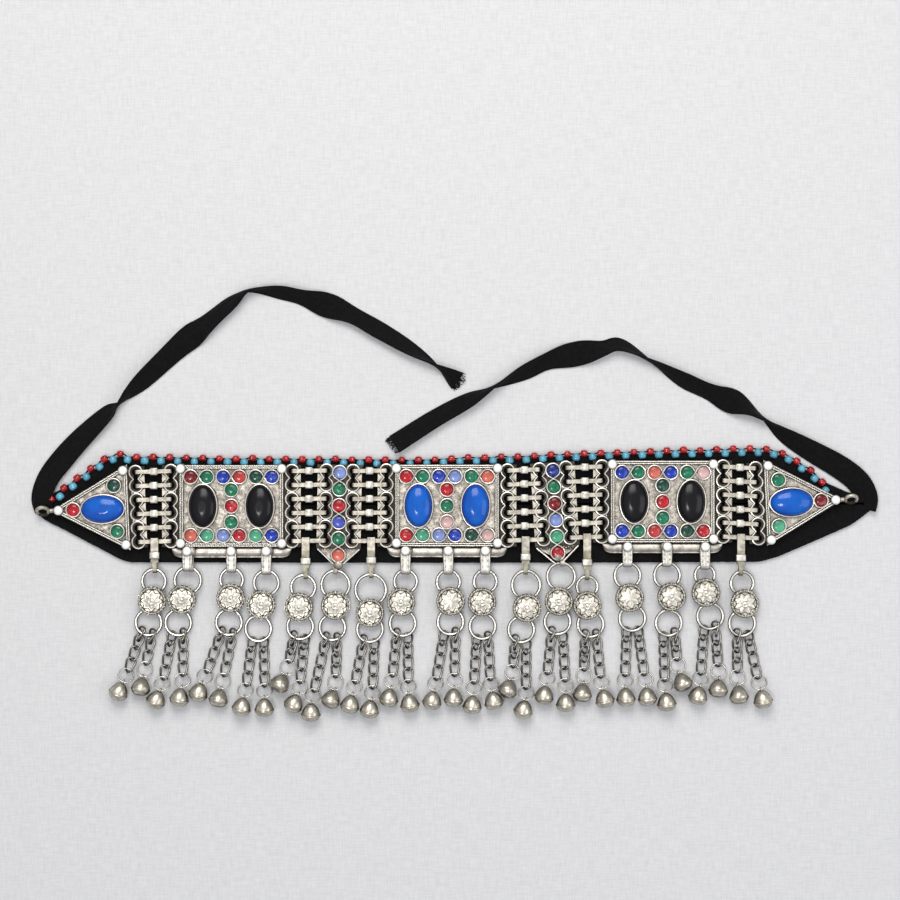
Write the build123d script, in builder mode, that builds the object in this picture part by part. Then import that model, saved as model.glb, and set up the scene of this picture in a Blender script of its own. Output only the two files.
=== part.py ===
# Folk choker of the Kuchi kind, lying open and flat on a surface.
# Seven soldered plates on a cloth band are joined by link bars, and seventeen
# drops with curb chains and small bells hang from them. Millimetres, +X along
# the band, +Y up the choker, +Z off the surface, origin under the band's middle.
import os
from math import asin, atan2, cos, degrees, hypot, pi, radians, sin, tan

from build123d import *

os.makedirs("parts", exist_ok=True)

# Running clearances between loose pieces
loose_gap = 0.12       # between moving metal pieces
seat_gap = 0.12        # between a piece and what it lies on
stone_gap = 0.1        # between a stone and its cup

# Cloth band and ties
band_thickness = 1.9
band_half_height = 19.6
band_foot = -22.1
tie_thickness = 1.0

# Strips of the link bars and the folded straps that hang on them
strap_thickness = 0.4
strip_thickness = 0.6
strip_width = 1.6
strip_bend = 0.4         # inside radius of a bar's ends
collar_length = 3.1
collar_wall = 0.25
flange_thickness = 0.8
strap_width = 3.0
strap_play = 0.2         # between a folded strap and the sides of its bar
strap_end_width = 1.7

# Plates
plate_half_height = 16.4
panel_half_width = 20.8
spacer_half_width = 3.0
hole_inset = 3.6       # flange edge to the middle of the hole column
body_to_hole = 3.4     # plate body to the middle of the hole column
body_above_flange = 0.3
rim_width = 1.5
rim_height = 0.5
hole_diameter = 3.0
hole_neck = 1.6
bar_pitch = 5.6
bar_pairs = 3
hole_span = 13.6       # hole column to hole column across a gap
grain_radius = 2.0
corner_inset = (0.9, 1.4)      # middle of a panel's corner grain from the two edges
hanger_grain_drop = 1.6        # middle of a hanger's grain below the panel

# Stones and their settings
stone_diameter = 4.0
collet_wall = 0.4
collet_height = 0.9
collet_floor = 0.2
stone_pitch = 6.5
row_height = 11.7
cabochon_length = 16.8
cabochon_width = 10.8
cabochon_height = 3.4
cabochon_offset = 11.4
cup_wall = 0.45
cup_height = 1.2

# Skirt under each panel and the points of the spacers and end plates
skirt_depth = 4.2
skirt_end_rise = 4.2      # how far each end of a skirt's lower edge steps in
spacer_stone_pitch = 6.6
spacer_point_width = 8.8
end_plate_length = 29.0
end_flange_inset = 1.0     # how far an end plate's flange stops short of its corners
tip_loop_radius = 2.3
tip_loop_wire = 1.5
tip_loop_tilt = 50.0
tip_neck_length = 5.2
end_stone_places = [(5.6, 9.0), (5.0, -9.4), (22.2, 0.0)]    # from the middle of the base
end_cabochon_place = (10.4, -0.2)

# Drops: a stamped disc soldered between two wire rings
eye_height = 3.5       # middle of a strap's eye above the surface
eye_hole_radius = 1.05
eye_wall = 0.42
ring_wire = 0.9
lower_ring_radius = 5.1
hook_height = 2.1      # wire of the lower ring where the chains hook on
disc_radius = 5.7
disc_thickness = 0.9
star_outer_radius = 4.0
star_inner_radius = 2.7
star_points = 8
relief_height = 0.35

# Curb links
link_wire = 0.8
link_half_length = 3.0   # middle line, end to middle
link_half_width = 1.95
link_twist = 45.0        # each end leans this far, one end each way
hook_spread = 26.0       # angle from the ring's foot to each hooked chain
hook_follow = 0.7        # how far the pair of hooks turns towards its bells
hook_room = 1.1          # least room between the ring's wire and the second link
slack = 0.2              # play between two links of a straight chain
end_inset = 0.55         # how far the thin ring rides inside the last link
rest_rolls = (3.0, 3.0, 9.0, 15.0)   # how the links after the first roll about their length
steep_roll = 70.0        # roll of a first link that is pushed up close to its ring
steep_next_roll = 20.0   # and of the link after it
steep_room = 2.0         # room under which it is

# A first link with more room leans on the ring. Its place along the chain is a share
# of the room, and its height, roll and tilt are a start and a growth with the room.
lean_share = 0.72
lean_height = (0.95, 0.13)
lean_roll = (-4.9, 9.8)
lean_tilt = (2.5, 3.7)

# Thin jump rings and bells
thin_wire = 0.55
thin_ring_radius = 3.05
bell_radius = 3.95
bell_half_length = 3.4
bell_seam = -1.0
bell_wall = 0.45
bell_slit = 0.7
bell_slit_hole = 1.5
shank_radius = 0.8
shank_wire = 0.56

# Heights above the surface, stacked from the sizes above
plate_back = band_thickness + seat_gap
lower_strip = plate_back + strap_thickness + loose_gap
flange_floor = lower_strip + strip_thickness + loose_gap
flange_top = flange_floor + flange_thickness
upper_strip = flange_top + loose_gap
strip_top = upper_strip + strip_thickness
plate_top = flange_top + body_above_flange
bar_middle = (lower_strip + strip_top) / 2

# Middles of the plates along the band, worked out from the widths and the gaps
panel_hole = panel_half_width + body_to_hole
spacer_hole = spacer_half_width + 2.3
panel_edge = panel_hole + hole_inset
spacer_edge = spacer_hole + hole_inset
centre_x = -1.2
spacer_step = panel_hole + hole_span + spacer_hole
end_step = panel_hole + hole_span

# name, middle x, middle y, lean in degrees
plate_table = {
    "end_plate_left": (centre_x - 2 * spacer_step - end_step, 0.4, 2.5),
    "panel_left": (centre_x - 2 * spacer_step, 0.8, 0.0),
    "spacer_left": (centre_x - spacer_step, 0.9, -1.0),
    "panel_centre": (centre_x, 1.0, 0.0),
    "spacer_right": (centre_x + spacer_step, 1.8, 3.5),
    "panel_right": (centre_x + 2 * spacer_step, 2.6, 0.0),
    "end_plate_right": (centre_x + 2 * spacer_step + end_step, 1.9, 2.5),
}

# Where each plate's hole columns stand from its own middle, left and right
hole_columns = {
    "end_plate_left": (0.0, 0.0),
    "panel_left": (-panel_hole, panel_hole),
    "spacer_left": (-spacer_hole, spacer_hole),
    "panel_centre": (-panel_hole, panel_hole),
    "spacer_right": (-spacer_hole, spacer_hole),
    "panel_right": (-panel_hole, panel_hole),
    "end_plate_right": (0.0, 0.0),
}

# One row for each drop, in millimetres. host is the plate or the gap that it
# hangs from, eye is its strap's eye from the host's middle, disc is from the
# eye, foot (middle of the lower ring) is from the disc. Each bell is
# x, y from the foot, heading of its shank from +Y towards +X, pitch of the
# shank above level, and the links in its chain.
drop_table = [
    dict(host="gap_1", eye=(0.0, -25.4), loop=4.65, disc=(-1.2, -12.5), foot=(-1.5, -8.8),
         bells=[(-11.6, -27.4, 24, 4, 4), (-2.9, -25.6, 8, -20, 3)]),
    dict(host="panel_left", eye=(-16.0, -24.8), loop=5.2, disc=(-4.0, -12.6), foot=(-1.5, -9.4),
         bells=[(-8.6, -30.6, 24, 6, 4), (0.7, -29.7, 13, 2, 4)]),
    dict(host="panel_left", eye=(0.2, -25.0), loop=4.5, disc=(-0.6, -11.8), foot=(-0.8, -9.8),
         bells=[(-11.9, -27.8, 20, 8, 4), (-4.0, -30.3, 12, -20, 4)]),
    dict(host="panel_left", eye=(15.0, -26.0), loop=4.9, disc=(-3.2, -13.4), foot=(-1.2, -9.7),
         bells=[(-6.5, -31.1, 14, 6, 4), (2.5, -31.4, 0, 8, 4)]),
    dict(host="gap_2", eye=(-1.2, -27.8), loop=4.8, disc=(-2.8, -12.6), foot=(0.5, -7.9),
         bells=[(-7.8, -22.6, 34, -20, 3), (-2.4, -30.6, 26, 4, 4)]),
    dict(host="spacer_left", eye=(-1.1, -26.0), loop=5.6, disc=(0.0, -13.9), foot=(-1.3, -8.9),
         bells=[(-8.5, -33.8, 2, 8, 5), (-0.4, -28.6, 22, -20, 4)]),
    dict(host="gap_3", eye=(0.8, -27.4), loop=6.1, disc=(-0.6, -15.4), foot=(0.0, -6.6),
         bells=[(-7.8, -29.8, 14, 4, 4), (0.0, -31.8, 12, 8, 4)]),
    dict(host="panel_centre", eye=(-15.6, -26.0), loop=4.5, disc=(-2.8, -12.6), foot=(0.6, -8.6),
         bells=[(-5.4, -29.6, 12, 4, 4), (2.8, -31.8, -8, 8, 4)]),
    dict(host="panel_centre", eye=(0.0, -26.0), loop=4.6, disc=(1.4, -12.3), foot=(0.0, -8.3),
         bells=[(-7.3, -31.3, 12, 6, 4), (1.2, -30.2, 4, 2, 4)]),
    dict(host="panel_centre", eye=(16.0, -26.0), loop=4.5, disc=(-2.0, -12.6), foot=(0.2, -9.8),
         bells=[(-4.1, -31.3, 6, 4, 4), (4.4, -29.6, -14, 8, 4)]),
    dict(host="gap_4", eye=(0.0, -26.0), loop=5.6, disc=(0.6, -14.8), foot=(-2.3, -8.8),
         bells=[(-5.2, -23.6, 24, -20, 3), (0.9, -31.7, 14, 8, 4)]),
    dict(host="spacer_right", eye=(1.6, -23.9), loop=5.5, disc=(-1.4, -15.4), foot=(-0.5, -8.2),
         bells=[(-5.3, -29.2, 12, 6, 4), (3.2, -32.3, 2, 4, 4)]),
    dict(host="gap_5", eye=(0.4, -28.2), loop=4.1, disc=(0.2, -11.6), foot=(1.3, -7.6),
         bells=[(-3.3, -27.4, 8, -20, 4), (5.5, -29.6, -14, 4, 4)]),
    dict(host="panel_right", eye=(-14.5, -24.6), loop=5.1, disc=(1.4, -13.9), foot=(1.1, -8.3),
         bells=[(-2.7, -31.4, -4, 6, 4), (5.9, -31.2, -6, 2, 4)]),
    dict(host="panel_right", eye=(0.8, -24.6), loop=5.1, disc=(2.9, -13.5), foot=(-1.1, -10.6),
         bells=[(-1.0, -31.4, -6, 8, 4), (5.4, -23.6, -22, -20, 3)]),
    dict(host="panel_right", eye=(16.7, -25.6), loop=3.9, disc=(0.7, -10.8), foot=(1.8, -9.6),
         bells=[(-4.9, -31.6, 12, 4, 4), (3.2, -28.8, 8, -20, 4)]),
    dict(host="gap_6", eye=(0.0, -26.4), loop=4.5, disc=(1.7, -12.6), foot=(-1.0, -8.0),
         bells=[(-1.4, -28.6, -4, -20, 4), (8.1, -30.2, -12, 6, 4)]),
]

# Middle line of each tie from the band to its free end, as places chosen along it:
# x, y from the band's tip, width of the tape there, and how high it stands.
tie_left_route = [
    (0.0, 0.0, 7.6, 1.0), (2.6, 7.6, 8.6, 1.0), (8.6, 15.6, 9.0, 1.0), (16.2, 24.0, 8.2, 1.2),
    (26.8, 34.2, 5.6, 2.0), (31.2, 38.2, 3.2, 2.8), (40.2, 46.4, 6.2, 1.6), (55.4, 60.8, 8.8, 1.0),
    (65.0, 68.6, 7.6, 1.2), (76.4, 78.2, 5.0, 2.0), (83.6, 82.6, 3.0, 2.8), (95.2, 82.2, 4.6, 2.0),
    (107.0, 79.4, 6.6, 1.4), (122.2, 74.2, 7.4, 1.0), (136.2, 66.6, 6.6, 1.4), (148.0, 59.6, 5.0, 2.0),
    (158.6, 53.0, 3.0, 2.8), (167.0, 46.6, 7.6, 1.0),
]
tie_right_route = [
    (0.0, 0.0, 8.0, 1.0), (-3.2, 6.2, 9.2, 1.0), (-10.4, 12.0, 9.2, 1.0), (-22.0, 18.6, 8.0, 1.0),
    (-32.4, 24.6, 5.4, 1.8), (-40.6, 30.6, 3.0, 2.8), (-48.6, 36.2, 6.2, 1.6), (-60.4, 41.2, 7.0, 1.2),
    (-73.6, 47.2, 5.4, 1.8), (-86.8, 55.2, 3.0, 2.8), (-98.8, 61.2, 4.8, 1.8), (-107.0, 59.4, 6.6, 1.4),
    (-125.4, 55.4, 7.2, 1.0), (-137.2, 50.0, 5.4, 1.8), (-149.2, 44.0, 3.0, 2.8), (-159.8, 38.8, 5.6, 1.6),
    (-173.0, 31.6, 6.8, 1.0), (-189.4, 21.2, 7.4, 1.0),
]
tie_left_root = (-163.8, 4.2)
tie_right_root = (167.0, 4.2)


def save(shape, name):
    shape.label = name
    export_step(shape, f"parts/{name}.step")


def turned(x, y, angle):
    """x and y turned by an angle in degrees about the origin."""
    c, s = cos(radians(angle)), sin(radians(angle))
    return x * c - y * s, x * s + y * c


def hole_place(name, side, y):
    """Where a hole of a plate's left (0) or right (1) column stands on the surface."""
    middle_x, middle_y, lean = plate_table[name]
    x, y = turned(hole_columns[name][side], y, lean)
    return middle_x + x, middle_y + y


plate_names = list(plate_table)
bar_heights = [(pair - (bar_pairs - 1) / 2) * 2 * bar_pitch + side * bar_pitch / 2
               for pair in range(bar_pairs) for side in (-1, 1)]


# Cloth band

tip_left, tip_right = -166.8, 169.4
shoulder_left, shoulder_right = -130.6, 132.6
root_left = tie_left_route[0][2] / 2
root_right = tie_right_route[0][2] / 2

with BuildPart() as band:
    with BuildSketch():
        with BuildLine():
            Polyline(
                (tie_left_root[0] - root_left, tie_left_root[1]),
                (tie_left_root[0] + root_left, tie_left_root[1]),
                (shoulder_left - 3.6, band_half_height - 1.4),
                (shoulder_left + 3.0, band_half_height - 0.6),
                (centre_x, band_half_height - 0.4),
                (shoulder_right - 4.0, band_half_height + 1.6),
                (shoulder_right + 6.0, band_half_height - 3.4),
                (tie_right_root[0] - root_right, tie_right_root[1]),
                (tie_right_root[0] + root_right, tie_right_root[1]),
                (tip_right, -0.6),
                (tip_right - 8.6, -6.4),
                (shoulder_right - 0.6, band_foot + 2.6),
                (shoulder_right - 8.0, band_foot + 0.4),
                (centre_x, band_foot),
                (shoulder_left + 0.8, band_foot + 0.2),
                (tip_left + 12.0, -8.8),
                (tip_left + 4.6, -5.2),
                (tip_left + 0.2, -1.6),
                close=True,
            )
        make_face()
    extrude(amount=band_thickness)
save(band.part, "backing_band")


# Cloth ties, each a tape that twists and gathers along its way

def tie_frame(route, root, index):
    """Plane across the tape at one place of its route, facing along it."""
    before = route[max(index - 1, 0)]
    after = route[min(index + 1, len(route) - 1)]
    along = Vector(after[0] - before[0], after[1] - before[1], 0)
    if index == 0:
        along = Vector(0, 1, 0)
    x, y, width, height = route[index]
    place = Vector(root[0] + x, root[1] + y, height * tie_thickness / 2)
    across = Vector(along.Y, -along.X, 0)
    return Plane(origin=place, x_dir=across, z_dir=along)


def build_tie(route, root):
    with BuildPart() as tie:
        for index, (x, y, width, height) in enumerate(route):
            with BuildSketch(tie_frame(route, root, index)):
                Rectangle(width, height * tie_thickness)
        loft(ruled=True)
    return tie.part


save(build_tie(tie_left_route, tie_left_root), "tie_left")
save(build_tie(tie_right_route, tie_right_root), "tie_right")


# Pieces of a plate, each drawn round the plate's own middle

def draw_frame(corners, width):
    """A raised rim that follows a closed outline and runs width inside it."""
    with BuildSketch(Plane.XY.offset(plate_top)) as outer:
        with BuildLine():
            Polyline(*corners, close=True)
        make_face()
    with BuildSketch(Plane.XY.offset(plate_top)) as inner:
        add(outer.sketch)
        offset(amount=-width, kind=Kind.INTERSECTION)
    extrude(outer.sketch - inner.sketch, amount=rim_height)


def draw_slab(corners, low, high):
    with BuildSketch(Plane.XY.offset(low)) as slab:
        with BuildLine():
            Polyline(*corners, close=True)
        make_face()
    extrude(slab.sketch, amount=high - low)


def draw_flange(side, body, edge, bottom=-plate_half_height):
    """A thin wing from the body to the edge, pierced by double-lobed holes."""
    near, far = side * (body - rim_width), side * edge
    corners = [(near, bottom), (far, bottom), (far, plate_half_height), (near, plate_half_height)]
    draw_slab(corners, flange_floor, flange_top)


def pierce_flange(column):
    """Three holes in a column, each two round lobes joined by a neck."""
    lobes = [(column, y) for y in bar_heights]
    with BuildSketch(Plane.XY.offset(flange_floor)) as holes:
        with Locations(*lobes):
            Circle(hole_diameter / 2)
        with Locations(*[(column, y + bar_pitch / 2) for y in bar_heights[::2]]):
            Rectangle(hole_neck, bar_pitch)
    extrude(holes.sketch, amount=flange_thickness, mode=Mode.SUBTRACT)


def add_grains(places):
    """Round grains soldered on the plate, half sunk in it."""
    for x, y in places:
        with Locations((x, y, plate_top)):
            Sphere(grain_radius)
    with Locations((0, 0, plate_back)):
        Box(400, 400, 2 * grain_radius, mode=Mode.SUBTRACT,
            align=(Align.CENTER, Align.CENTER, Align.MAX))


def add_collets(places):
    """Round settings for the small stones, open at the top."""
    outer = stone_diameter / 2 + collet_wall
    with BuildSketch(Plane.XY.offset(plate_top)) as walls:
        with Locations(*places):
            Circle(outer)
    extrude(walls.sketch, amount=collet_height)
    with BuildSketch(Plane.XY.offset(plate_top + collet_floor)) as seats:
        with Locations(*places):
            Circle(stone_diameter / 2)
    extrude(seats.sketch, amount=collet_height - collet_floor, mode=Mode.SUBTRACT)


def add_cups(places, along):
    """Oval cups for the cabochons. along is True where they lie along the band."""
    size = (cabochon_length / 2, cabochon_width / 2)
    radii = size if along else size[::-1]
    with BuildSketch(Plane.XY.offset(plate_top)) as walls:
        with Locations(*places):
            Ellipse(radii[0] + stone_gap + cup_wall, radii[1] + stone_gap + cup_wall)
            Ellipse(radii[0] + stone_gap, radii[1] + stone_gap, mode=Mode.SUBTRACT)
    extrude(walls.sketch, amount=cup_height)


def add_hanger(eye_x, eye_y, top_y, top_height):
    """A soldered strap that runs down from the plate to an eye for the drop."""
    eye_outer = eye_hole_radius + eye_wall
    with BuildSketch(Plane(origin=(eye_x, 0, 0), x_dir=(0, 1, 0), z_dir=(1, 0, 0))) as profile:
        with BuildLine():
            Polyline(
                (top_y, top_height), (top_y, top_height + strap_thickness),
                (eye_y + 2 * eye_outer, top_height + strap_thickness),
                (eye_y, eye_height + eye_outer), (eye_y, eye_height),
                (eye_y + 2 * eye_outer, eye_height), (top_y, plate_back + 0.4),
                close=True,
            )
        make_face()
        with Locations((eye_y, eye_height)):
            Circle(eye_outer)
            Circle(eye_hole_radius, mode=Mode.SUBTRACT)
    extrude(profile.sketch, amount=strap_end_width / 2, both=True)


def panel_skirt():
    """Smooth boat-shaped lip under a panel, turned up at both ends."""
    half = panel_edge - 3.2
    with BuildSketch(Plane.XY.offset(plate_back)) as lip:
        with BuildLine():
            top = -plate_half_height + 0.6
            low = -plate_half_height - skirt_depth
            foot = half - skirt_end_rise
            Line((-half, top), (half, top))
            ThreePointArc((half, top), (half - 1.2, top - 2.6), (foot, low))
            Line((foot, low), (-foot, low))
            ThreePointArc((-foot, low), (-half + 1.2, top - 2.6), (-half, top))
        make_face()
    extrude(lip.sketch, amount=flange_floor - plate_back + 0.2)


def panel_eyes(name):
    return [row["eye"] for row in drop_table if row["host"] == name]


def build_panel(name):
    """A rectangular panel: two cabochons, fifteen small stones, two pierced wings."""
    half_w, half_h = panel_half_width, plate_half_height
    corners = [(-half_w, -half_h), (half_w, -half_h), (half_w, half_h), (-half_w, half_h)]
    columns = [(index - 2.5) * stone_pitch for index in range(6)]
    stones = [(x, y) for x in columns for y in (row_height, -row_height)]
    stones += [(0, (index - 1) * stone_pitch) for index in range(3)]
    with BuildPart() as panel:
        draw_slab(corners, plate_back, plate_top)
        for side in (-1, 1):
            draw_flange(side, half_w, panel_edge)
            pierce_flange(side * panel_hole)
        panel_skirt()
        draw_frame(corners, rim_width)
        add_collets(stones)
        add_cups([(-cabochon_offset, 0), (cabochon_offset, 0)], along=False)
        grain_x, grain_y = half_w - corner_inset[0], half_h - corner_inset[1]
        add_grains([(side * grain_x, end * grain_y) for side in (-1, 1) for end in (-1, 1)])
        for eye_x, eye_y in panel_eyes(name):
            add_hanger(eye_x, eye_y, -half_h, plate_top - 0.4)
            with Locations((eye_x, -half_h - hanger_grain_drop, plate_top - 0.2)):
                Sphere(grain_radius)
    return panel.part


def build_spacer(name):
    """A narrow plate: six small stones in a column, two wings and a pointed foot."""
    eye_x, eye_y = panel_eyes(name)[0]
    half_w, half_h = spacer_half_width, plate_half_height
    tip = eye_y + eye_hole_radius + eye_wall
    foot_top = -half_h - 0.6
    point = [(-spacer_point_width, foot_top), (0, tip), (spacer_point_width, foot_top)]
    column = [(-half_w, foot_top - 0.4), (half_w, foot_top - 0.4), (half_w, half_h), (-half_w, half_h)]
    top_stone = half_h - 3.1
    stones = [(0, top_stone - index * spacer_stone_pitch) for index in range(6)]
    with BuildPart() as spacer:
        draw_slab(column, plate_back, plate_top)
        draw_slab(point, plate_back, plate_top)
        for side in (-1, 1):
            draw_flange(side, half_w, spacer_edge, -half_h - 0.8)
            pierce_flange(side * spacer_hole)
        add_collets(stones)
        add_grains([(0, tip + 1.2)])
        add_hanger(eye_x, eye_y, foot_top - 3.0, plate_top - 0.4)
    return spacer.part


def build_end_plate(name, side):
    """A three-cornered end plate. side is -1 with its tip to the left, 1 to the right."""
    base = side * (body_to_hole - 0.2)
    tip = side * (body_to_hole + end_plate_length)
    half_h = plate_half_height + 0.8
    flange_h = half_h - end_flange_inset
    corners = [(base, -half_h), (base, half_h), (tip, 0.9), (tip, -0.9)]
    wing = [(base + side * rim_width, -flange_h), (base + side * rim_width, flange_h),
            (-side * hole_inset, flange_h), (-side * hole_inset, -flange_h)]
    loop_x = tip + side * tip_neck_length
    with BuildPart() as plate:
        draw_slab(corners, plate_back, plate_top)
        draw_slab(wing, flange_floor, flange_top)
        pierce_flange(0)
        draw_frame(corners, rim_width)
        add_collets([(base + side * x, y) for x, y in end_stone_places])
        add_cups([(base + side * end_cabochon_place[0], end_cabochon_place[1])], along=True)
        add_grains([(base + side * 1.8, end * (half_h - 2.6)) for end in (-1, 1)] + [(tip - side, 0)])
        loop_rise = plate_back + tip_loop_wire / 2 + tip_loop_radius * sin(radians(tip_loop_tilt))
        with Locations(Location((loop_x, 0, loop_rise), (tip_loop_tilt, 0, 0))):
            Torus(tip_loop_radius, tip_loop_wire / 2)
        with BuildSketch(Plane(origin=(tip - side * 2, 0, plate_back + 1.0), z_dir=(side, 0, 0.35))):
            Circle(0.9)
        extrude(amount=2 + tip_neck_length - tip_loop_radius)
    return plate.part


builders = {
    "end_plate_left": lambda name: build_end_plate(name, -1),
    "end_plate_right": lambda name: build_end_plate(name, 1),
    "spacer_left": build_spacer,
    "spacer_right": build_spacer,
}


def placed(name):
    x, y, lean = plate_table[name]
    return Location((x, y, 0), (0, 0, lean))


for name in plate_names:
    shape = builders.get(name, build_panel)(name)
    save(shape.moved(placed(name)), name)


# Cabochons, domed stones that drop into the cups with a small gap all round

def build_cabochon(along):
    size = (cabochon_length / 2, cabochon_width / 2)
    long_radius, short_radius = size if along else size[::-1]
    girdle = 0.8
    with BuildPart() as stone:
        with BuildSketch(Plane.XY.offset(plate_top + seat_gap)):
            Ellipse(long_radius, short_radius)
        with BuildSketch(Plane.XY.offset(plate_top + seat_gap + girdle)):
            Ellipse(long_radius, short_radius)
        loft()
        levels = [(0.0, 1.0), (0.35, 0.94), (0.65, 0.79), (0.87, 0.55), (1.0, 0.22)]
        for rise, share in levels:
            height = plate_top + seat_gap + girdle + rise * (cabochon_height - girdle)
            with BuildSketch(Plane.XY.offset(height)):
                Ellipse(long_radius * share, short_radius * share)
        loft()
    return stone.part


upright_stone = build_cabochon(along=False)
level_stone = build_cabochon(along=True)
end_offset = body_to_hole - 0.2 + end_cabochon_place[0]
end_rise = end_cabochon_place[1]
cabochon_table = [
    ("cabochon_end_left", "end_plate_left", level_stone, -end_offset, end_rise),
    ("cabochon_panel_left_1", "panel_left", upright_stone, -cabochon_offset, 0),
    ("cabochon_panel_left_2", "panel_left", upright_stone, cabochon_offset, 0),
    ("cabochon_panel_centre_1", "panel_centre", upright_stone, -cabochon_offset, 0),
    ("cabochon_panel_centre_2", "panel_centre", upright_stone, cabochon_offset, 0),
    ("cabochon_panel_right_1", "panel_right", upright_stone, -cabochon_offset, 0),
    ("cabochon_panel_right_2", "panel_right", upright_stone, cabochon_offset, 0),
    ("cabochon_end_right", "end_plate_right", level_stone, end_offset, end_rise),
]
for name, host, stone, x, y in cabochon_table:
    save(stone.moved(placed(host) * Location((x, y, 0))), name)


# Link bars: flat wire bent into a closed loop through a hole on each side

def build_bar(length, collared):
    """One loop of strip round the two flange edges, with a collar at its middle."""
    outer_rise = strip_top - lower_strip
    with BuildPart() as bar:
        with BuildSketch(Plane.XZ.offset(-strip_width / 2)):
            RectangleRounded(length, outer_rise, strip_bend + strip_thickness)
            RectangleRounded(length - 2 * strip_thickness, outer_rise - 2 * strip_thickness,
                             strip_bend, mode=Mode.SUBTRACT)
        extrude(amount=strip_width)
        if collared:
            Box(collar_length, strip_width + 2 * collar_wall, outer_rise + 2 * collar_wall)
            fillet(bar.edges().filter_by(Axis.X).group_by(Axis.Z)[-1], collar_wall)
    return bar.part


def build_strap(drop):
    """Folded strap: one fold rides on the lowest bar, the other holds the drop's ring."""
    inner = strip_width / 2 + strap_play
    rise = (strip_top - lower_strip) / 2 + loose_gap
    eye_outer = eye_hole_radius + eye_wall
    outer = inner + strap_thickness
    with BuildPart() as strap:
        with BuildSketch(Plane.YZ.offset(-strap_width / 2)):
            Rectangle(2 * outer, 2 * (rise + strap_thickness))
            with BuildLine():
                Polyline((-inner, rise + strap_thickness), (-inner, -rise - strap_thickness),
                         (drop + eye_outer, eye_height - bar_middle - 0.5),
                         (drop, eye_height - bar_middle), (drop, eye_height - bar_middle + eye_outer),
                         close=True)
            make_face()
            with Locations((drop, eye_height - bar_middle)):
                Circle(eye_outer)
                Circle(eye_hole_radius, mode=Mode.SUBTRACT)
            Rectangle(2 * inner, 2 * rise, mode=Mode.SUBTRACT)
        extrude(amount=strap_width)
        for side in (-1, 1):
            with Locations((side * strap_width / 2, drop, eye_height - bar_middle)):
                Box(strap_width - strap_end_width, 4 * eye_outer, 4 * eye_outer, mode=Mode.SUBTRACT)
    return strap.part


def gap_number(row):
    return int(row["host"].split("_")[1])


gap_middles = {}
gap_bars = {}
for gap in range(6):
    left, right = plate_names[gap], plate_names[gap + 1]
    loops = []
    for index, y in enumerate(bar_heights):
        x1, y1 = hole_place(left, 1, y)
        x2, y2 = hole_place(right, 0, y)
        middle = ((x1 + x2) / 2, (y1 + y2) / 2)
        slope = degrees(atan2(y2 - y1, x2 - x1))
        bar = build_bar(hypot(x2 - x1, y2 - y1) + strip_thickness, index > 0)
        loops.append(bar.moved(Location((*middle, bar_middle), (0, 0, slope))))
        if index == 0:
            gap_bars[f"gap_{gap + 1}"] = (middle, slope)
    gap_middles[f"gap_{gap + 1}"] = loops


def host_place(row):
    """Where a drop's strap eye stands on the surface."""
    if row["host"] in gap_bars:
        (x, y), slope = gap_bars[row["host"]]
        return x + row["eye"][0], row["eye"][1] + plate_table["panel_left"][1]
    x, y, lean = plate_table[row["host"]]
    dx, dy = turned(*row["eye"], lean)
    return x + dx, y + dy


for row in drop_table:
    if row["host"] not in gap_bars:
        continue
    (bar_x, bar_y), slope = gap_bars[row["host"]]
    eye = host_place(row)
    strap = build_strap(eye[1] - bar_y - (eye[0] - bar_x) * tan(radians(slope)))
    along_bar = (eye[0] - bar_x) * tan(radians(slope))
    with BuildPart() as group:
        add(gap_middles[row["host"]])
        add(strap.moved(Location((eye[0], bar_y + along_bar, bar_middle))))
    save(group.part, "link_bars_" + row["host"])


# Stamped disc with a star boss, drawn level round its own middle

with BuildPart() as stamped_disc:
    Cylinder(disc_radius, disc_thickness, align=(Align.CENTER, Align.CENTER, Align.MIN))
    with BuildSketch(Plane.XY.offset(disc_thickness)):
        Circle(disc_radius)
        Circle(disc_radius - 0.8, mode=Mode.SUBTRACT)
    extrude(amount=relief_height / 2)
    with BuildSketch(Plane.XY.offset(disc_thickness)):
        with BuildLine():
            Polyline(*[
                (radius * cos(angle), radius * sin(angle))
                for radius, angle in [
                    ((star_outer_radius, star_inner_radius)[step % 2], radians(step * 180 / star_points))
                    for step in range(2 * star_points)
                ]
            ], close=True)
        make_face()
    extrude(amount=relief_height)
    with BuildSketch(Plane.XY.offset(disc_thickness + relief_height)):
        Circle(1.3)
        Circle(0.7, mode=Mode.SUBTRACT)
    extrude(amount=relief_height / 2)


def medallion_frame(row):
    """Eye, disc and foot of a drop, with its fall towards the surface."""
    eye_x, eye_y = host_place(row)
    disc_x, disc_y = eye_x + row["disc"][0], eye_y + row["disc"][1]
    foot_x, foot_y = disc_x + row["foot"][0], disc_y + row["foot"][1]
    run = eye_y - foot_y + lower_ring_radius
    fall = (eye_height - hook_height) / run
    return (eye_x, eye_y), (disc_x, disc_y), (foot_x, foot_y), fall


def build_medallion(row):
    eye, disc, foot, fall = medallion_frame(row)
    tilt = degrees(asin(fall))
    reach = hypot(disc[0] - eye[0], disc[1] - eye[1])
    loop = row["loop"]
    upper = (eye[0] + loop * (disc[0] - eye[0]) / reach, eye[1] + loop * (disc[1] - eye[1]) / reach)

    def level(point):
        return Location((*point, eye_height - fall * (eye[1] - point[1])), (tilt, 0, 0))

    disc_place = level(disc)
    turn = 40 * row["disc"][0]
    with BuildPart() as medallion:
        with Locations(level(upper)):
            Torus(loop, ring_wire / 2)
        with Locations(level(foot)):
            Torus(lower_ring_radius, ring_wire / 2)
        with Locations(disc_place * Location((0, 0, 0), (0, 0, turn))):
            add(stamped_disc.part)
    return medallion.part


# Curb link: an oval of round wire whose two ends are twisted against each other

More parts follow.
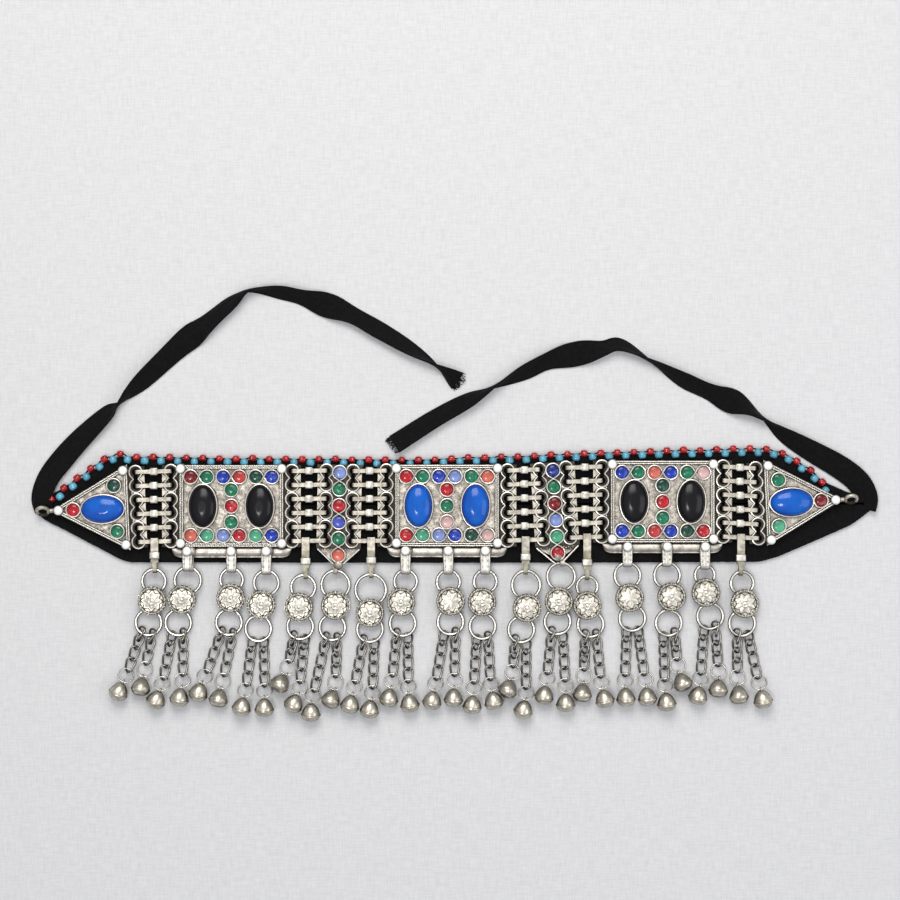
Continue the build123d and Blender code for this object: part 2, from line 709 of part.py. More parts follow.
def build_link():
    """Half of the oval is swept, and turned over it makes the other half."""
    corner = link_half_width * tan(radians(22.5))
    inner = link_half_length - link_half_width + corner
    outline = [(link_half_length, 0), (link_half_length, corner), (inner, link_half_width),
               (-inner, link_half_width), (-link_half_length, corner), (-link_half_length, 0)]
    points = []
    for x, across in outline:
        lean = radians(link_twist * x / link_half_length)
        points.append((x, across * cos(lean), across * sin(lean)))
    with BuildPart() as half:
        with BuildLine() as path:
            FilletPolyline(*points, radius=0.85 * link_half_width)
        with BuildSketch(Plane(origin=path.line @ 0, z_dir=path.line % 0)):
            Circle(link_wire / 2)
        sweep()
    with BuildPart() as link:
        add(half.part)
        add(half.part, rotation=(180, 0, 0))
    return link.part


link_solid = build_link()


def link_rise(roll):
    """Height of a link's middle when it lies on the surface, rolled about its length."""
    lowest = 0.0
    steps = 24
    for step in range(steps):
        angle = 2 * pi * step / steps
        x = (link_half_length - link_half_width) * (1 if cos(angle) > 0 else -1)
        x += link_half_width * cos(angle)
        lean = radians(roll + link_twist * x / link_half_length)
        lowest = min(lowest, link_half_width * sin(angle) * sin(lean))
    return link_wire / 2 - lowest


def link_place(start, along, station, rise, roll, tilt=0.0):
    """A link at a station of its chain, far end raised by tilt, rolled about its length."""
    x, y = start[0] + along[0] * station, start[1] + along[1] * station
    lying = Location(Plane(origin=(x, y, rise), x_dir=(*along, 0), z_dir=(0, 0, 1)))
    return lying * Location((0, 0, 0), (0, -tilt, 0)) * Location((0, 0, 0), (roll, 0, 0))


def chain_layout(hook, end, count):
    """Places of a chain's links from the ring's wire to the thin ring's wire."""
    dx, dy = end[0] - hook[0], end[1] - hook[1]
    length = hypot(dx, dy)
    along = (dx / length, dy / length)
    taut_pitch = 2 * link_half_length - link_wire - slack
    last = link_half_length - (link_wire + thin_wire) / 2 - end_inset
    pitch = min(taut_pitch, (length - last - link_half_length - hook_room) / (count - 2))
    stations = [length - last - pitch * (count - 1 - index) for index in range(1, count)]
    room = stations[0] - link_half_length
    rolls = list(rest_rolls[1 - count:])
    if room < steep_room:
        rolls[0] = steep_next_roll
        first = link_place(hook, along, room / 2, link_rise(steep_roll), steep_roll)
    else:
        height, roll, tilt = (start + growth * room for start, growth in (lean_height, lean_roll, lean_tilt))
        first = link_place(hook, along, lean_share * room, height, roll, tilt)
    places = [first]
    for station, roll in zip(stations, rolls):
        places.append(link_place(hook, along, station, link_rise(roll), roll))
    return places


# Small bell, drawn with its shank up the Z axis and its middle at the origin

def build_bell():
    top, foot, seam = bell_half_length, -bell_half_length, bell_seam
    wall = bell_wall
    lip = bell_radius
    inner = bell_radius - 0.7
    with BuildPart() as bell:
        with BuildSketch(Plane.XZ):
            with BuildLine():
                Line((0, foot), (1.5, foot))
                ThreePointArc((1.5, foot), (bell_radius - 0.75, foot + 0.95), (lip - 0.2, seam - 0.3))
                Line((lip - 0.2, seam - 0.3), (lip, seam - 0.2))
                Line((lip, seam - 0.2), (lip, seam + 0.2))
                Line((lip, seam + 0.2), (lip - 0.25, seam + 0.3))
                ThreePointArc((lip - 0.25, seam + 0.3), (bell_radius - 1.1, seam + 2.6), (1.1, top))
                Line((1.1, top), (0, top))
                Line((0, top), (0, top - wall))
                Line((0, top - wall), (1.0, top - wall))
                ThreePointArc((1.0, top - wall), (bell_radius - 1.5, seam + 2.3), (inner, seam))
                ThreePointArc((inner, seam), (bell_radius - 1.25, foot + 1.2), (1.4, foot + wall))
                Line((1.4, foot + wall), (0, foot + wall))
                Line((0, foot + wall), (0, foot))
            make_face()
        revolve(axis=Axis.Z)
        with BuildSketch(Plane.XY.offset(foot - 1)):
            Rectangle(2 * (bell_radius - 1.2), bell_slit)
            with Locations((bell_radius - 1.4, 0), (-bell_radius + 1.4, 0)):
                Circle(bell_slit_hole / 2)
        extrude(amount=seam - 0.5 - foot + 1, mode=Mode.SUBTRACT)
        with Locations(Location((0, 0, top + shank_radius - shank_wire / 4), (0, 90, 0))):
            Torus(shank_radius, shank_wire / 2)
    return bell.part


bell_solid = build_bell()
shank_reach = bell_half_length + shank_radius - shank_wire / 4


def bell_rise(pitch):
    """Height of a bell's middle when it lies on the surface at a pitch."""
    ring_places = [(bell_seam, bell_radius), (-bell_half_length, 1.5), (bell_half_length, 1.1),
                   (shank_reach + shank_radius + shank_wire / 2, 0.0)]
    p = radians(pitch)
    return max(radius * cos(p) - height * sin(p) for height, radius in ring_places)


with BuildPart() as thin_ring:
    Torus(thin_ring_radius, thin_wire / 2)


def side_places(row):
    """Bell, thin ring and links of each side of a drop."""
    eye, disc, foot, fall = medallion_frame(row)
    sides = []
    for x, y, heading, pitch, count in row["bells"]:
        bell_x, bell_y, bell_z = foot[0] + x, foot[1] + y, bell_rise(pitch)
        h, p = radians(heading), radians(pitch)
        shank = (bell_x + shank_reach * cos(p) * sin(h),
                 bell_y + shank_reach * cos(p) * cos(h),
                 bell_z + shank_reach * sin(p))
        sides.append((bell_x, bell_y, bell_z, h, p, shank, count))
    angles = [atan2(side[5][0] - foot[0], foot[1] - side[5][1]) for side in sides]
    middle = degrees(sum(angles) / 2) * hook_follow
    result = []
    for index, (bell_x, bell_y, bell_z, h, p, shank, count) in enumerate(sides):
        hook_angle = radians(middle + (-hook_spread, hook_spread)[index])
        hook = (foot[0] + lower_ring_radius * sin(hook_angle),
                foot[1] - lower_ring_radius * cos(hook_angle))
        rise = shank[2] - link_rise(0)
        run = (4 * thin_ring_radius ** 2 - rise ** 2) ** 0.5
        gap = hypot(hook[0] - shank[0], hook[1] - shank[1])
        end = (shank[0] + run * (hook[0] - shank[0]) / gap,
               shank[1] + run * (hook[1] - shank[1]) / gap)
        ring_middle = ((shank[0] + end[0]) / 2, (shank[1] + end[1]) / 2, (shank[2] + link_rise(0)) / 2)
        towards = Vector(shank[0] - end[0], shank[1] - end[1], rise)
        across = Vector(towards.Y, -towards.X, 0)
        ring_place = Location(Plane(origin=ring_middle, x_dir=across, z_dir=across.cross(towards)))
        bell_place = Location(Plane(origin=(bell_x, bell_y, bell_z),
                                    x_dir=Vector(cos(h), -sin(h), 0),
                                    z_dir=Vector(cos(p) * sin(h), cos(p) * cos(h), sin(p))))
        links = chain_layout(hook, end, count)
        result.append(dict(links=links, ring=ring_place, bell=bell_place))
    return result


for number, row in enumerate(drop_table, start=1):
    save(build_medallion(row), f"medallion_{number:02d}")
    sides = side_places(row)
    link_places = [place for side in sides for place in side["links"]]
    with BuildPart() as chains:
        add([link_solid.moved(place) for place in link_places])
        add([thin_ring.part.moved(side["ring"]) for side in sides])
        add([bell_solid.moved(side["bell"]) for side in sides])
    save(chains.part, f"chains_and_bells_{number:02d}")
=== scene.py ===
import math
import random

import bmesh
import bpy
import numpy as np
from mathutils import Matrix, Vector, noise


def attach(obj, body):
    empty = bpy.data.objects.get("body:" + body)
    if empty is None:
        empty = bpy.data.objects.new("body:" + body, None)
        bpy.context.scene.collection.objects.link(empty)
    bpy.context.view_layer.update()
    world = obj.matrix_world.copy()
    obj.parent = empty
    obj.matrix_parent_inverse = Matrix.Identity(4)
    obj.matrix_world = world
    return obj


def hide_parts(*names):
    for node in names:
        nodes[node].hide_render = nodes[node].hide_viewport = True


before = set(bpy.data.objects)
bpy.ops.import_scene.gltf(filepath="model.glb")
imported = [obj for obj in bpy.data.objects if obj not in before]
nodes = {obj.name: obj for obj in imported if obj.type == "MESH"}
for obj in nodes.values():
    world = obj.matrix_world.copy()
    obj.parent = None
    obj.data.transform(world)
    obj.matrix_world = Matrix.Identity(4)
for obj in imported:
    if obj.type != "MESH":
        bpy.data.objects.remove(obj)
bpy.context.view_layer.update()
mm = 0.001

# Heights of the metalwork above the surface, in millimetres
levels = {
    "plateBack": 2.02,
    "flangeTop": 4.06,
    "plateTop": 4.36,
    "rimTop": 4.86,
    "colletTop": 5.26,
    "cupTop": 5.56,
}

# Middle and lean of each plate, in millimetres and degrees
plates = {
    "end_plate_left": (-125.2, 0.4, 2.5),
    "panel_left": (-87.4, 0.8, 0.0),
    "spacer_left": (-44.3, 0.9, -1.0),
    "panel_centre": (-1.2, 1.0, 0.0),
    "spacer_right": (41.9, 1.8, 3.5),
    "panel_right": (85.0, 2.6, 0.0),
    "end_plate_right": (122.8, 1.9, 2.5),
}


# Camera and light

photoView = {
    "middle": (0.0, 23.2),    # where the picture's middle falls on the surface, mm
    "height": 900.0,
    "width": 360.0,           # how much of the surface it sees, mm
    "sensor": 36.0,
    "metalwork": 4.0,         # height at which that width is seen, mm
}


def addObject(name, data):
    made = bpy.data.objects.new(name, data)
    bpy.context.scene.collection.objects.link(made)
    return made


cameraData = bpy.data.cameras.new("photoCamera")
camera = addObject("photoCamera", cameraData)
camera.location = Vector((*photoView["middle"], photoView["height"] + photoView["metalwork"])) * mm
cameraData.sensor_width = photoView["sensor"]
cameraData.lens = photoView["sensor"] * photoView["height"] / photoView["width"]
cameraData.clip_start, cameraData.clip_end = 0.05, 20
bpy.context.scene.camera = camera
bpy.context.scene.view_settings.view_transform = "Standard"
bpy.context.scene.view_settings.look = "None"

lamps = {
    "topWindow": dict(place=(-0.05, 0.55, 0.75), size=0.5, power=4.2, colour=(1.0, 0.98, 0.95)),
    "sideFill": dict(place=(0.7, -0.1, 0.6), size=0.5, power=1.2, colour=(0.95, 0.97, 1.0)),
    "overhead": dict(place=(-0.25, -0.30, 1.3), size=0.22, power=3.0, colour=(1.0, 1.0, 1.0)),
}


def addLamp(name, look):
    data = bpy.data.lights.new(name, "AREA")
    data.shape = "SQUARE"
    data.size, data.energy, data.color = look["size"], look["power"], look["colour"]
    lamp = addObject(name, data)
    lamp.location = look["place"]
    lamp.rotation_euler = (-Vector(look["place"])).to_track_quat("-Z", "Y").to_euler()


for name, look in lamps.items():
    addLamp(name, look)


# Materials: in these helpers a value that is a socket is linked, and any other is set

def setOrLink(tree, socket, value):
    if isinstance(value, bpy.types.NodeSocket):
        tree.links.new(value, socket)
    else:
        socket.default_value = (*value, 1) if socket.type == "RGBA" else value


# A name is that of an input without its spaces, or else of a setting of the node
def feed(tree, node, **values):
    for key, value in values.items():
        socket = next((s for s in node.inputs if s.name.replace(" ", "") == key), None)
        if socket is None:
            setattr(node, key, value)
        else:
            setOrLink(tree, socket, value)


def addNode(tree, kind, **values):
    node = tree.nodes.new("ShaderNode" + kind)
    feed(tree, node, **values)
    return node


def startMaterial(name):
    material = bpy.data.materials.new(name)
    material.use_nodes = True
    tree = material.node_tree
    place = addNode(tree, "TexCoord").outputs["Object"]
    return material, tree, tree.nodes["Principled BSDF"], place


# From one shade at the low value to another at the high one, where a bare number is a grey
def addRamp(tree, source, low, high, first=0.0, last=1.0):
    ramp = addNode(tree, "ValToRGB")
    for element, value, shade in zip(ramp.color_ramp.elements, (low, high), (first, last)):
        element.position = value
        element.color = (*shade, 1) if isinstance(shade, tuple) else (shade, shade, shade, 1)
    tree.links.new(source, ramp.inputs[0])
    return ramp.outputs[0]


def addRange(tree, source, low, high, least=0.0, most=1.0):
    ends = dict(FromMin=low, FromMax=high, ToMin=least, ToMax=most)
    return addNode(tree, "MapRange", Value=source, **ends).outputs["Result"]


def addMath(tree, operation, first, second):
    node = addNode(tree, "Math", operation=operation, use_clamp=operation in ("ADD", "MULTIPLY"))
    for socket, value in zip(node.inputs, (first, second)):
        setOrLink(tree, socket, value)
    return node.outputs[0]


def mixColours(tree, factor, first, second, mode="MIX"):
    node = addNode(tree, "Mix", data_type="RGBA", blend_type=mode)
    ends = [s for s in node.inputs if s.type == "RGBA"]
    for socket, value in zip((node.inputs[0], *ends), (factor, first, second)):
        setOrLink(tree, socket, value)
    return [s for s in node.outputs if s.type == "RGBA"][0]


def addNoise(tree, place, scale, detail, roughness=0.5):
    node = addNode(tree, "TexNoise", Vector=place, Scale=scale, Detail=detail, Roughness=roughness)
    return node.outputs["Fac"]


def partOf(tree, source, axis):
    return addNode(tree, "SeparateXYZ", Vector=source).outputs[axis]


def facingUp(tree):
    return partOf(tree, addNode(tree, "NewGeometry").outputs["Normal"], "Z")


def addBump(tree, shader, height, strength, depth):
    bump = addNode(tree, "Bump", Strength=strength, Distance=depth * mm, Height=height)
    feed(tree, shader, Normal=bump.outputs[0])


airLook = dict(below=(0.10, 0.10, 0.11), above=(0.92, 0.93, 0.95), full=0.85, power=0.62)


def fillAir(look):
    world = bpy.data.worlds.new("studioAir")
    world.use_nodes = True
    bpy.context.scene.world = world
    tree = world.node_tree
    height = partOf(tree, addNode(tree, "TexCoord").outputs["Generated"], "Z")
    shade = addRamp(tree, height, 0.0, look["full"], look["below"], look["above"])
    feed(tree, tree.nodes["Background"], Color=shade, Strength=look["power"])


fillAir(airLook)

# Tarnish gathers in hollows within a reach (mm) and in speckles, and is rubbed off what stands
# proud;
# the darkening in hollows is also painted shade where parts close in. Faces darken from up to the
# sides between the two sides values, which is painted shade. A sunk height (mm) stays dark, and
# straps below the plates are olive.
metalLooks = {
    "plateSilver": dict(
        bright=(0.86, 0.79, 0.70), dark=(0.045, 0.038, 0.028), rough=0.46, reach=1.1,
        open=(0.35, 0.88), sides=(0.05, 0.60), speckle=(0.38, 0.62, 0.40), grain=0.7, shine=0.85,
        sunk=(0.05, 4.12, 4.34)),
    "spacerSilver": dict(
        bright=(0.86, 0.79, 0.70), dark=(0.04, 0.034, 0.026), rough=0.46, reach=1.1,
        open=(0.35, 0.88), sides=(0.05, 0.60), speckle=(0.38, 0.62, 0.40), grain=0.7, shine=0.85,
        sunk=(0.12, 4.50, 4.60)),
    "lipSilver": dict(
        bright=(0.86, 0.81, 0.73), dark=(0.05, 0.042, 0.03), rough=0.42, reach=1.4,
        open=(0.40, 0.90), sides=(0.10, 0.80), speckle=(0.36, 0.60, 0.60), grain=0.3, shine=0.88),
    "filigreeSilver": dict(
        bright=(0.96, 0.92, 0.84), dark=(0.06, 0.05, 0.038), rough=0.36, reach=0.6,
        open=(0.12, 0.60), sides=(0.15, 0.80), speckle=(0.28, 0.46, 0.85), grain=0.3, shine=0.9),
    "grainSilver": dict(
        bright=(0.98, 0.97, 0.94), dark=(0.16, 0.14, 0.11), rough=0.55, reach=0.8,
        open=(0.25, 0.70), sides=(0.05, 0.80), speckle=(0.28, 0.46, 0.85), grain=0.15, shine=0.6),
    "barSilver": dict(
        bright=(0.76, 0.71, 0.61), dark=(0.07, 0.06, 0.045), rough=0.50, reach=1.2,
        open=(0.40, 0.92), sides=(0.20, 0.90), speckle=(0.35, 0.60, 0.55), grain=0.4, shine=0.88,
        olive=(0.50, 0.47, 0.36)),
    "collarSilver": dict(
        bright=(0.88, 0.85, 0.78), dark=(0.09, 0.08, 0.06), rough=0.42, reach=0.9,
        open=(0.30, 0.80), sides=(0.20, 0.90), speckle=(0.33, 0.55, 0.65), grain=0.3, shine=0.88),
    "wireSilver": dict(
        bright=(0.90, 0.86, 0.78), dark=(0.045, 0.04, 0.032), rough=0.28, reach=0.9,
        open=(0.30, 0.80), sides=(0.62, 0.97), speckle=(0.30, 0.50, 0.80), grain=0.15, shine=0.95),
    "discSilver": dict(
        bright=(0.94, 0.89, 0.78), dark=(0.04, 0.034, 0.025), rough=0.34, reach=0.9,
        open=(0.45, 0.90), sides=(0.30, 0.86), speckle=(0.34, 0.56, 0.60), grain=0.3, shine=0.9),
    "chainSilver": dict(
        bright=(0.46, 0.43, 0.38), dark=(0.022, 0.020, 0.017), rough=0.28, reach=1.2,
        open=(0.30, 0.85), sides=(0.45, 0.97), speckle=(0.34, 0.56, 0.60), grain=0.3, shine=0.95),
    "bellSilver": dict(
        bright=(0.94, 0.87, 0.74), dark=(0.040, 0.036, 0.026), rough=0.30, reach=2.2,
        open=(0.35, 0.92), sides=(0.08, 0.80), speckle=(0.34, 0.58, 0.62), grain=0.3, shine=0.92),
}
patinaLook = {
    "cloud": (420.0, 4.0, 0.6),               # scale, detail and roughness of the speckles
    "fine": (2600.0, 3.0, 0.7),               # the same of the fine grain
    "tint": (0.80, 0.78, 0.74),
    "dulled": 0.22,                           # how much rougher the tarnish is
    "skirt": (-16.2, -17.2),                  # below this y nothing is sunk, mm
    "strap": (-16.6, -17.2),                  # below this y the straps begin, mm
    "bump": (0.35, 0.12),
}


def makeMetal(name, look, patina):
    material, tree, shader, place = startMaterial(name)
    cloud, fine = addNoise(tree, place, *patina["cloud"]), addNoise(tree, place, *patina["fine"])
    # darker in hollows: tarnish there, and painted shade where parts close in
    hollow = addNode(tree, "AmbientOcclusion", samples=6, Distance=look["reach"] * mm)
    openness = addRamp(tree, hollow.outputs["AO"], *look["open"])
    # painted shade: faces turned away from straight up are darker
    paintedSideShade = addRange(tree, facingUp(tree), *look["sides"])
    cleanAndLit = addMath(tree, "MULTIPLY", openness, paintedSideShade)
    cleanAndLit = addMath(tree, "MULTIPLY", cleanAndLit, addRamp(tree, cloud, *look["speckle"]))
    bright = look["bright"]
    if "sunk" in look:
        least, low, high = look["sunk"]
        step = addRange(tree, partOf(tree, place, "Z"), low * mm, high * mm, least)
        below = addRange(tree, partOf(tree, place, "Y"), *(y * mm for y in patina["skirt"]))
        cleanAndLit = addMath(tree, "MULTIPLY", cleanAndLit, addMath(tree, "MAXIMUM", step, below))
    if "olive" in look:
        strap = addRange(tree, partOf(tree, place, "Y"), *(y * mm for y in patina["strap"]))
        bright = mixColours(tree, strap, bright, look["olive"])
    # the dark colour stands for tarnish and for painted shade, the bright one for clean, lit metal
    colour = mixColours(tree, cleanAndLit, look["dark"], bright)
    tint = addRamp(tree, fine, 0.3, 0.7, patina["tint"])
    rough = addRange(tree, cleanAndLit, 0.0, 1.0, look["rough"] + patina["dulled"], look["rough"])
    feed(tree, shader, BaseColor=mixColours(tree, look["grain"], colour, tint, "MULTIPLY"),
         Metallic=look["shine"], Roughness=rough)
    strength, depth = patina["bump"]
    addBump(tree, shader, fine, strength * look["grain"], depth)
    return material


metals = {name: makeMetal(name, look, patinaLook) for name, look in metalLooks.items()}

glassLooks = {
    "blueCabochon": dict(
        deep=(0.002, 0.035, 0.34), light=(0.003, 0.125, 0.60), rough=0.14, gloss=0.40,
        swirl=160.0, lift=1.9),
    "blackCabochon": dict(
        deep=(0.002, 0.002, 0.003), light=(0.006, 0.006, 0.008), rough=0.20, gloss=0.30,
        swirl=160.0, lift=1.9),
}


# The glass is lighter where it faces up, in slow swirls: painted light on its top
def makeCabochonGlass(name, look):
    material, tree, shader, place = startMaterial(name)
    swirl = addNoise(tree, place, look["swirl"], 3.0)
    # painted light: the faces turned up are lightened
    lift = addRamp(tree, facingUp(tree), 0.35, 1.0)
    amount = addMath(tree, "MULTIPLY", addMath(tree, "MULTIPLY", lift, swirl), look["lift"])
    feed(tree, shader, BaseColor=mixColours(tree, amount, look["deep"], look["light"]),
         Roughness=look["rough"], SpecularIORLevel=look["gloss"])
    addBump(tree, shader, swirl, 0.12, 0.2)
    return material


# how dark the painted shade is, how bright the painted glints are, and the gloss of the glass
foilLook = dict(shadow=0.72, spark=0.20, rough=0.14, gloss=0.35, coat=0.25, coatRough=0.05)


# Foiled glass: the stone's tint darkened to painted shade where little painted light falls, with
# white painted glints where much falls
def makeStoneGlass(name, look):
    material, tree, shader, place = startMaterial(name)
    tint = addNode(tree, "VertexColor", layer_name="tint").outputs["Color"]
    paintedGlow = addNode(tree, "Attribute", attribute_name="paintedFoilLight").outputs["Fac"]
    spark = addRamp(tree, addNoise(tree, place, 900.0, 3.0), 0.50, 0.74, 0.0, look["spark"])
    dark = mixColours(tree, look["shadow"], tint, (0.0, 0.0, 0.0))
    body = mixColours(tree, paintedGlow, dark, tint)
    colour = mixColours(tree, addMath(tree, "MULTIPLY", paintedGlow, spark), body, (0.9, 0.9, 0.9))
    feed(tree, shader, BaseColor=colour, Roughness=look["rough"], SpecularIORLevel=look["gloss"],
         CoatWeight=look["coat"], CoatRoughness=look["coatRough"])
    return material


cabochonGlass = {name: makeCabochonGlass(name, look) for name, look in glassLooks.items()}
stoneGlass = makeStoneGlass("paintedFoilLightedGlass", foilLook)

clothLooks = {
    "blackCloth": dict(
        thread=(0.015, 0.0145, 0.016), gap=(0.003, 0.003, 0.0035), weave=520.0, nap=0.5),
    "blackTape": dict(
        thread=(0.016, 0.0155, 0.0165), gap=(0.003, 0.003, 0.003), weave=640.0, nap=0.45),
    "blackThread": dict(
        thread=(0.030, 0.028, 0.028), gap=(0.004, 0.004, 0.004), weave=1800.0, nap=0.3),
}


def makeCloth(name, look):
    material, tree, shader, place = startMaterial(name)
    warp, weft = (addNode(tree, "TexWave", Vector=place, Scale=look["weave"], Distortion=0.8,
                          Detail=1.0, bands_direction=way).outputs["Fac"] for way in "XY")
    lint = addNoise(tree, place, 700.0, 6.0, 0.75)
    cross = addMath(tree, "MULTIPLY", warp, weft)
    amount = addMath(tree, "MULTIPLY", addRamp(tree, lint, 0.45, 0.75), look["nap"])
    amount = addMath(tree, "ADD", amount, addMath(tree, "MULTIPLY", cross, 0.35))
    feed(tree, shader, BaseColor=mixColours(tree, amount, look["gap"], look["thread"]),
         Roughness=0.88, SheenWeight=0.05, SheenRoughness=0.5, SpecularIORLevel=0.12)
    addBump(tree, shader, addMath(tree, "ADD", cross, lint), 0.5, 0.15)
    return material


cloths = {name: makeCloth(name, look) for name, look in clothLooks.items()}

beadLooks = {
    "redBead": dict(colour=(0.62, 0.012, 0.018), rough=0.16, through=0.15),
    "turquoiseBead": dict(colour=(0.14, 0.50, 0.70), rough=0.30, through=0.0),
}


def makeBeadGlass(name, look):
    material, tree, shader, place = startMaterial(name)
    shade = addRamp(tree, addNoise(tree, place, 260.0, 2.0), 0.3, 0.7, 0.6)
    feed(tree, shader, BaseColor=mixColours(tree, 1.0, look["colour"], shade, "MULTIPLY"),
         Roughness=look["rough"], TransmissionWeight=look["through"],
         CoatWeight=0.5, CoatRoughness=0.08)
    return material


beads = {name: makeBeadGlass(name, look) for name, look in beadLooks.items()}
print("stage: camera, lights and materials")


# Mesh helpers: a bag gathers the corners and faces of many small forms

def newBag():
    return {"corners": [], "faces": [], "count": 0}


def addForm(bag, corners, faces):
    corners = np.asarray(corners, float).reshape(-1, 3)
    bag["corners"].append(corners)
    if len(faces):
        bag["faces"].extend((np.asarray(faces, int) + bag["count"]).tolist())
    bag["count"] += len(corners)


# Faces between rings of corners, and from the last ring to the first if closed
def gridFaces(rows, columns, closed=False):
    r, c = np.meshgrid(np.arange(rows if closed else rows - 1), np.arange(columns), indexing="ij")
    nextRow, nextColumn = (r + 1) % rows, (c + 1) % columns
    return np.stack([r * columns + c, r * columns + nextColumn,
                     nextRow * columns + nextColumn, nextRow * columns + c], -1).reshape(-1, 4)


# Rings of corners as one skin, closed by a face at either end
def addSkin(bag, rings, closed=False, flip=False):
    rows, sides = np.asarray(rings).shape[:2]
    start = bag["count"]
    addForm(bag, rings, gridFaces(rows, sides, closed))
    if not closed:
        first = [start + i for i in range(sides)]
        last = [start + (rows - 1) * sides + i for i in range(sides)]
        bag["faces"] += [first, last[::-1]] if flip else [first[::-1], last]


# Rings of corners that close to a point above, and may have one more ring as their foot
def addLid(bag, corners, rings, sides, foot=True):
    start = bag["count"]
    addForm(bag, corners, gridFaces(rings, sides))
    last, top = start + (rings - 1) * sides, start + rings * sides
    under = top + 1 if foot else start
    for i in range(sides):
        j = (i + 1) % sides
        bag["faces"].append([last + i, last + j, top])
        if foot:
            bag["faces"].append([start + j, start + i, under + i, under + j])
    bag["faces"].append([under + i for i in range(sides)][::-1])


def around(count):
    return np.linspace(0, 2 * math.pi, count, endpoint=False)


def ringPoints(x, y, radius, z, count, high=None):
    high = high or radius
    return [(x + radius * math.cos(a), y + high * math.sin(a), z) for a in around(count)]


def unit(rows):
    return rows / np.maximum(np.linalg.norm(rows, axis=-1, keepdims=True), 1e-12)


# The directions to the right of the given ones
def rightOf(along):
    return np.stack([along[:, 1], -along[:, 0]], -1)


def sweepFrames(points, closed):
    points = np.asarray(points, float)
    if closed:
        along = unit(np.roll(points, -1, 0) - np.roll(points, 1, 0))
    else:
        along = unit(np.gradient(points, axis=0))
    side = np.cross(along, (0.0, 0.0, 1.0))
    lengths = np.linalg.norm(side, axis=1, keepdims=True)
    side = np.where(lengths > 1e-6, side / np.maximum(lengths, 1e-12), np.array([1.0, 0, 0]))
    return points, side, np.cross(side, along)


def addTube(bag, points, radius, sides, closed=False):
    points, side, top = sweepFrames(points, closed)
    angle = around(sides)[None, :, None]
    ring = (side[:, None] * np.cos(angle) + top[:, None] * np.sin(angle)) * radius
    addSkin(bag, points[:, None] + ring, closed)


# A closed rope of two strands twisted together, as one ribbed tube
def addRope(bag, points, radius, lay):
    points, side, top = sweepFrames(points, True)
    steps = np.linalg.norm(np.diff(points, axis=0), axis=1)
    run = np.concatenate([[0], np.cumsum(steps)])
    angle = around(8)[None]
    twist = (run / lay * 2 * math.pi)[:, None]
    reach = radius * (0.80 + 0.28 * np.cos(2 * (angle - twist)))
    ring = (side[:, None] * (np.cos(angle) * reach)[..., None]
            + top[:, None] * (np.sin(angle) * reach)[..., None])
    addSkin(bag, points[:, None] + ring, closed=True)


def addDome(bag, centre, radius, height, rings=3, sides=8):
    x, y, z = centre
    corners = []
    for level in np.linspace(0, math.pi / 2, rings + 1)[:-1]:
        corners += ringPoints(x, y, radius * math.cos(level), z + height * math.sin(level), sides)
    addLid(bag, corners + [(x, y, z + height)], rings, sides, foot=False)


# The same line with its points a step apart
def evenly(points, step, closed=False):
    points = np.asarray(points, float)
    if closed:
        points = np.vstack([points, points[:1]])
    run = np.concatenate([[0], np.cumsum(np.linalg.norm(np.diff(points, axis=0), axis=1))])
    count = max(int(round(run[-1] / step)), 2)
    at = np.linspace(0, run[-1], count + 1)
    made = np.stack([np.interp(at, run, points[:, axis]) for axis in range(points.shape[1])], -1)
    return made[:-1] if closed else made


# A curve through the points
def smoothLine(points, perSpan):
    points = np.asarray(points, float)
    padded = np.vstack([2 * points[0] - points[1], points, 2 * points[-1] - points[-2]])
    made = []
    for i in range(1, len(padded) - 2):
        a, b, c, d = padded[i - 1:i + 3]
        for t in np.linspace(0, 1, perSpan, endpoint=False):
            made.append(0.5 * (2 * b + (c - a) * t + (2 * a - 5 * b + 4 * c - d) * t * t
                               + (3 * b - 3 * c + d - a) * t ** 3))
    made.append(points[-1])
    return np.array(made)


# One piece from a bag, shaded smooth over edges below the given angle
def makePiece(name, bag, material, smooth):
    mesh = bpy.data.meshes.new(name)
    mesh.from_pydata((np.vstack(bag["corners"]) * mm).tolist(), [], bag["faces"])
    mesh.update()
    work = bmesh.new()
    work.from_mesh(mesh)
    bmesh.ops.recalc_face_normals(work, faces=work.faces)
    work.to_mesh(mesh)
    work.free()
    piece = addObject(name, mesh)
    shadeByAngle(piece, smooth)
    mesh.materials.append(material)
    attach(piece, "root")
    return piece


def shadeByAngle(piece, angle):
    piece.data.shade_smooth()
    piece.data.set_sharp_from_angle(angle=math.radians(angle))


# Points drawn round a plate's middle, carried to where the plate lies
def onPlate(name, points):
    points = np.asarray(points, float).reshape(-1, 3)
    x, y, lean = plates[name]
    c, s = math.cos(math.radians(lean)), math.sin(math.radians(lean))
    return np.stack([x + points[:, 0] * c - points[:, 1] * s,
                     y + points[:, 0] * s + points[:, 1] * c, points[:, 2]], -1)


def kindOf(name):
    return name.split("_")[0]


def sideOf(name):
    return -1 if name.endswith("left") else 1


# Floor

floorLook = dict(half=1.6, colour=(0.80, 0.80, 0.81), rough=0.9, cloud=0.95, thread=0.94,
                 threads=((150.0, 1900.0, 1.0), (1900.0, 150.0, 1.0)))


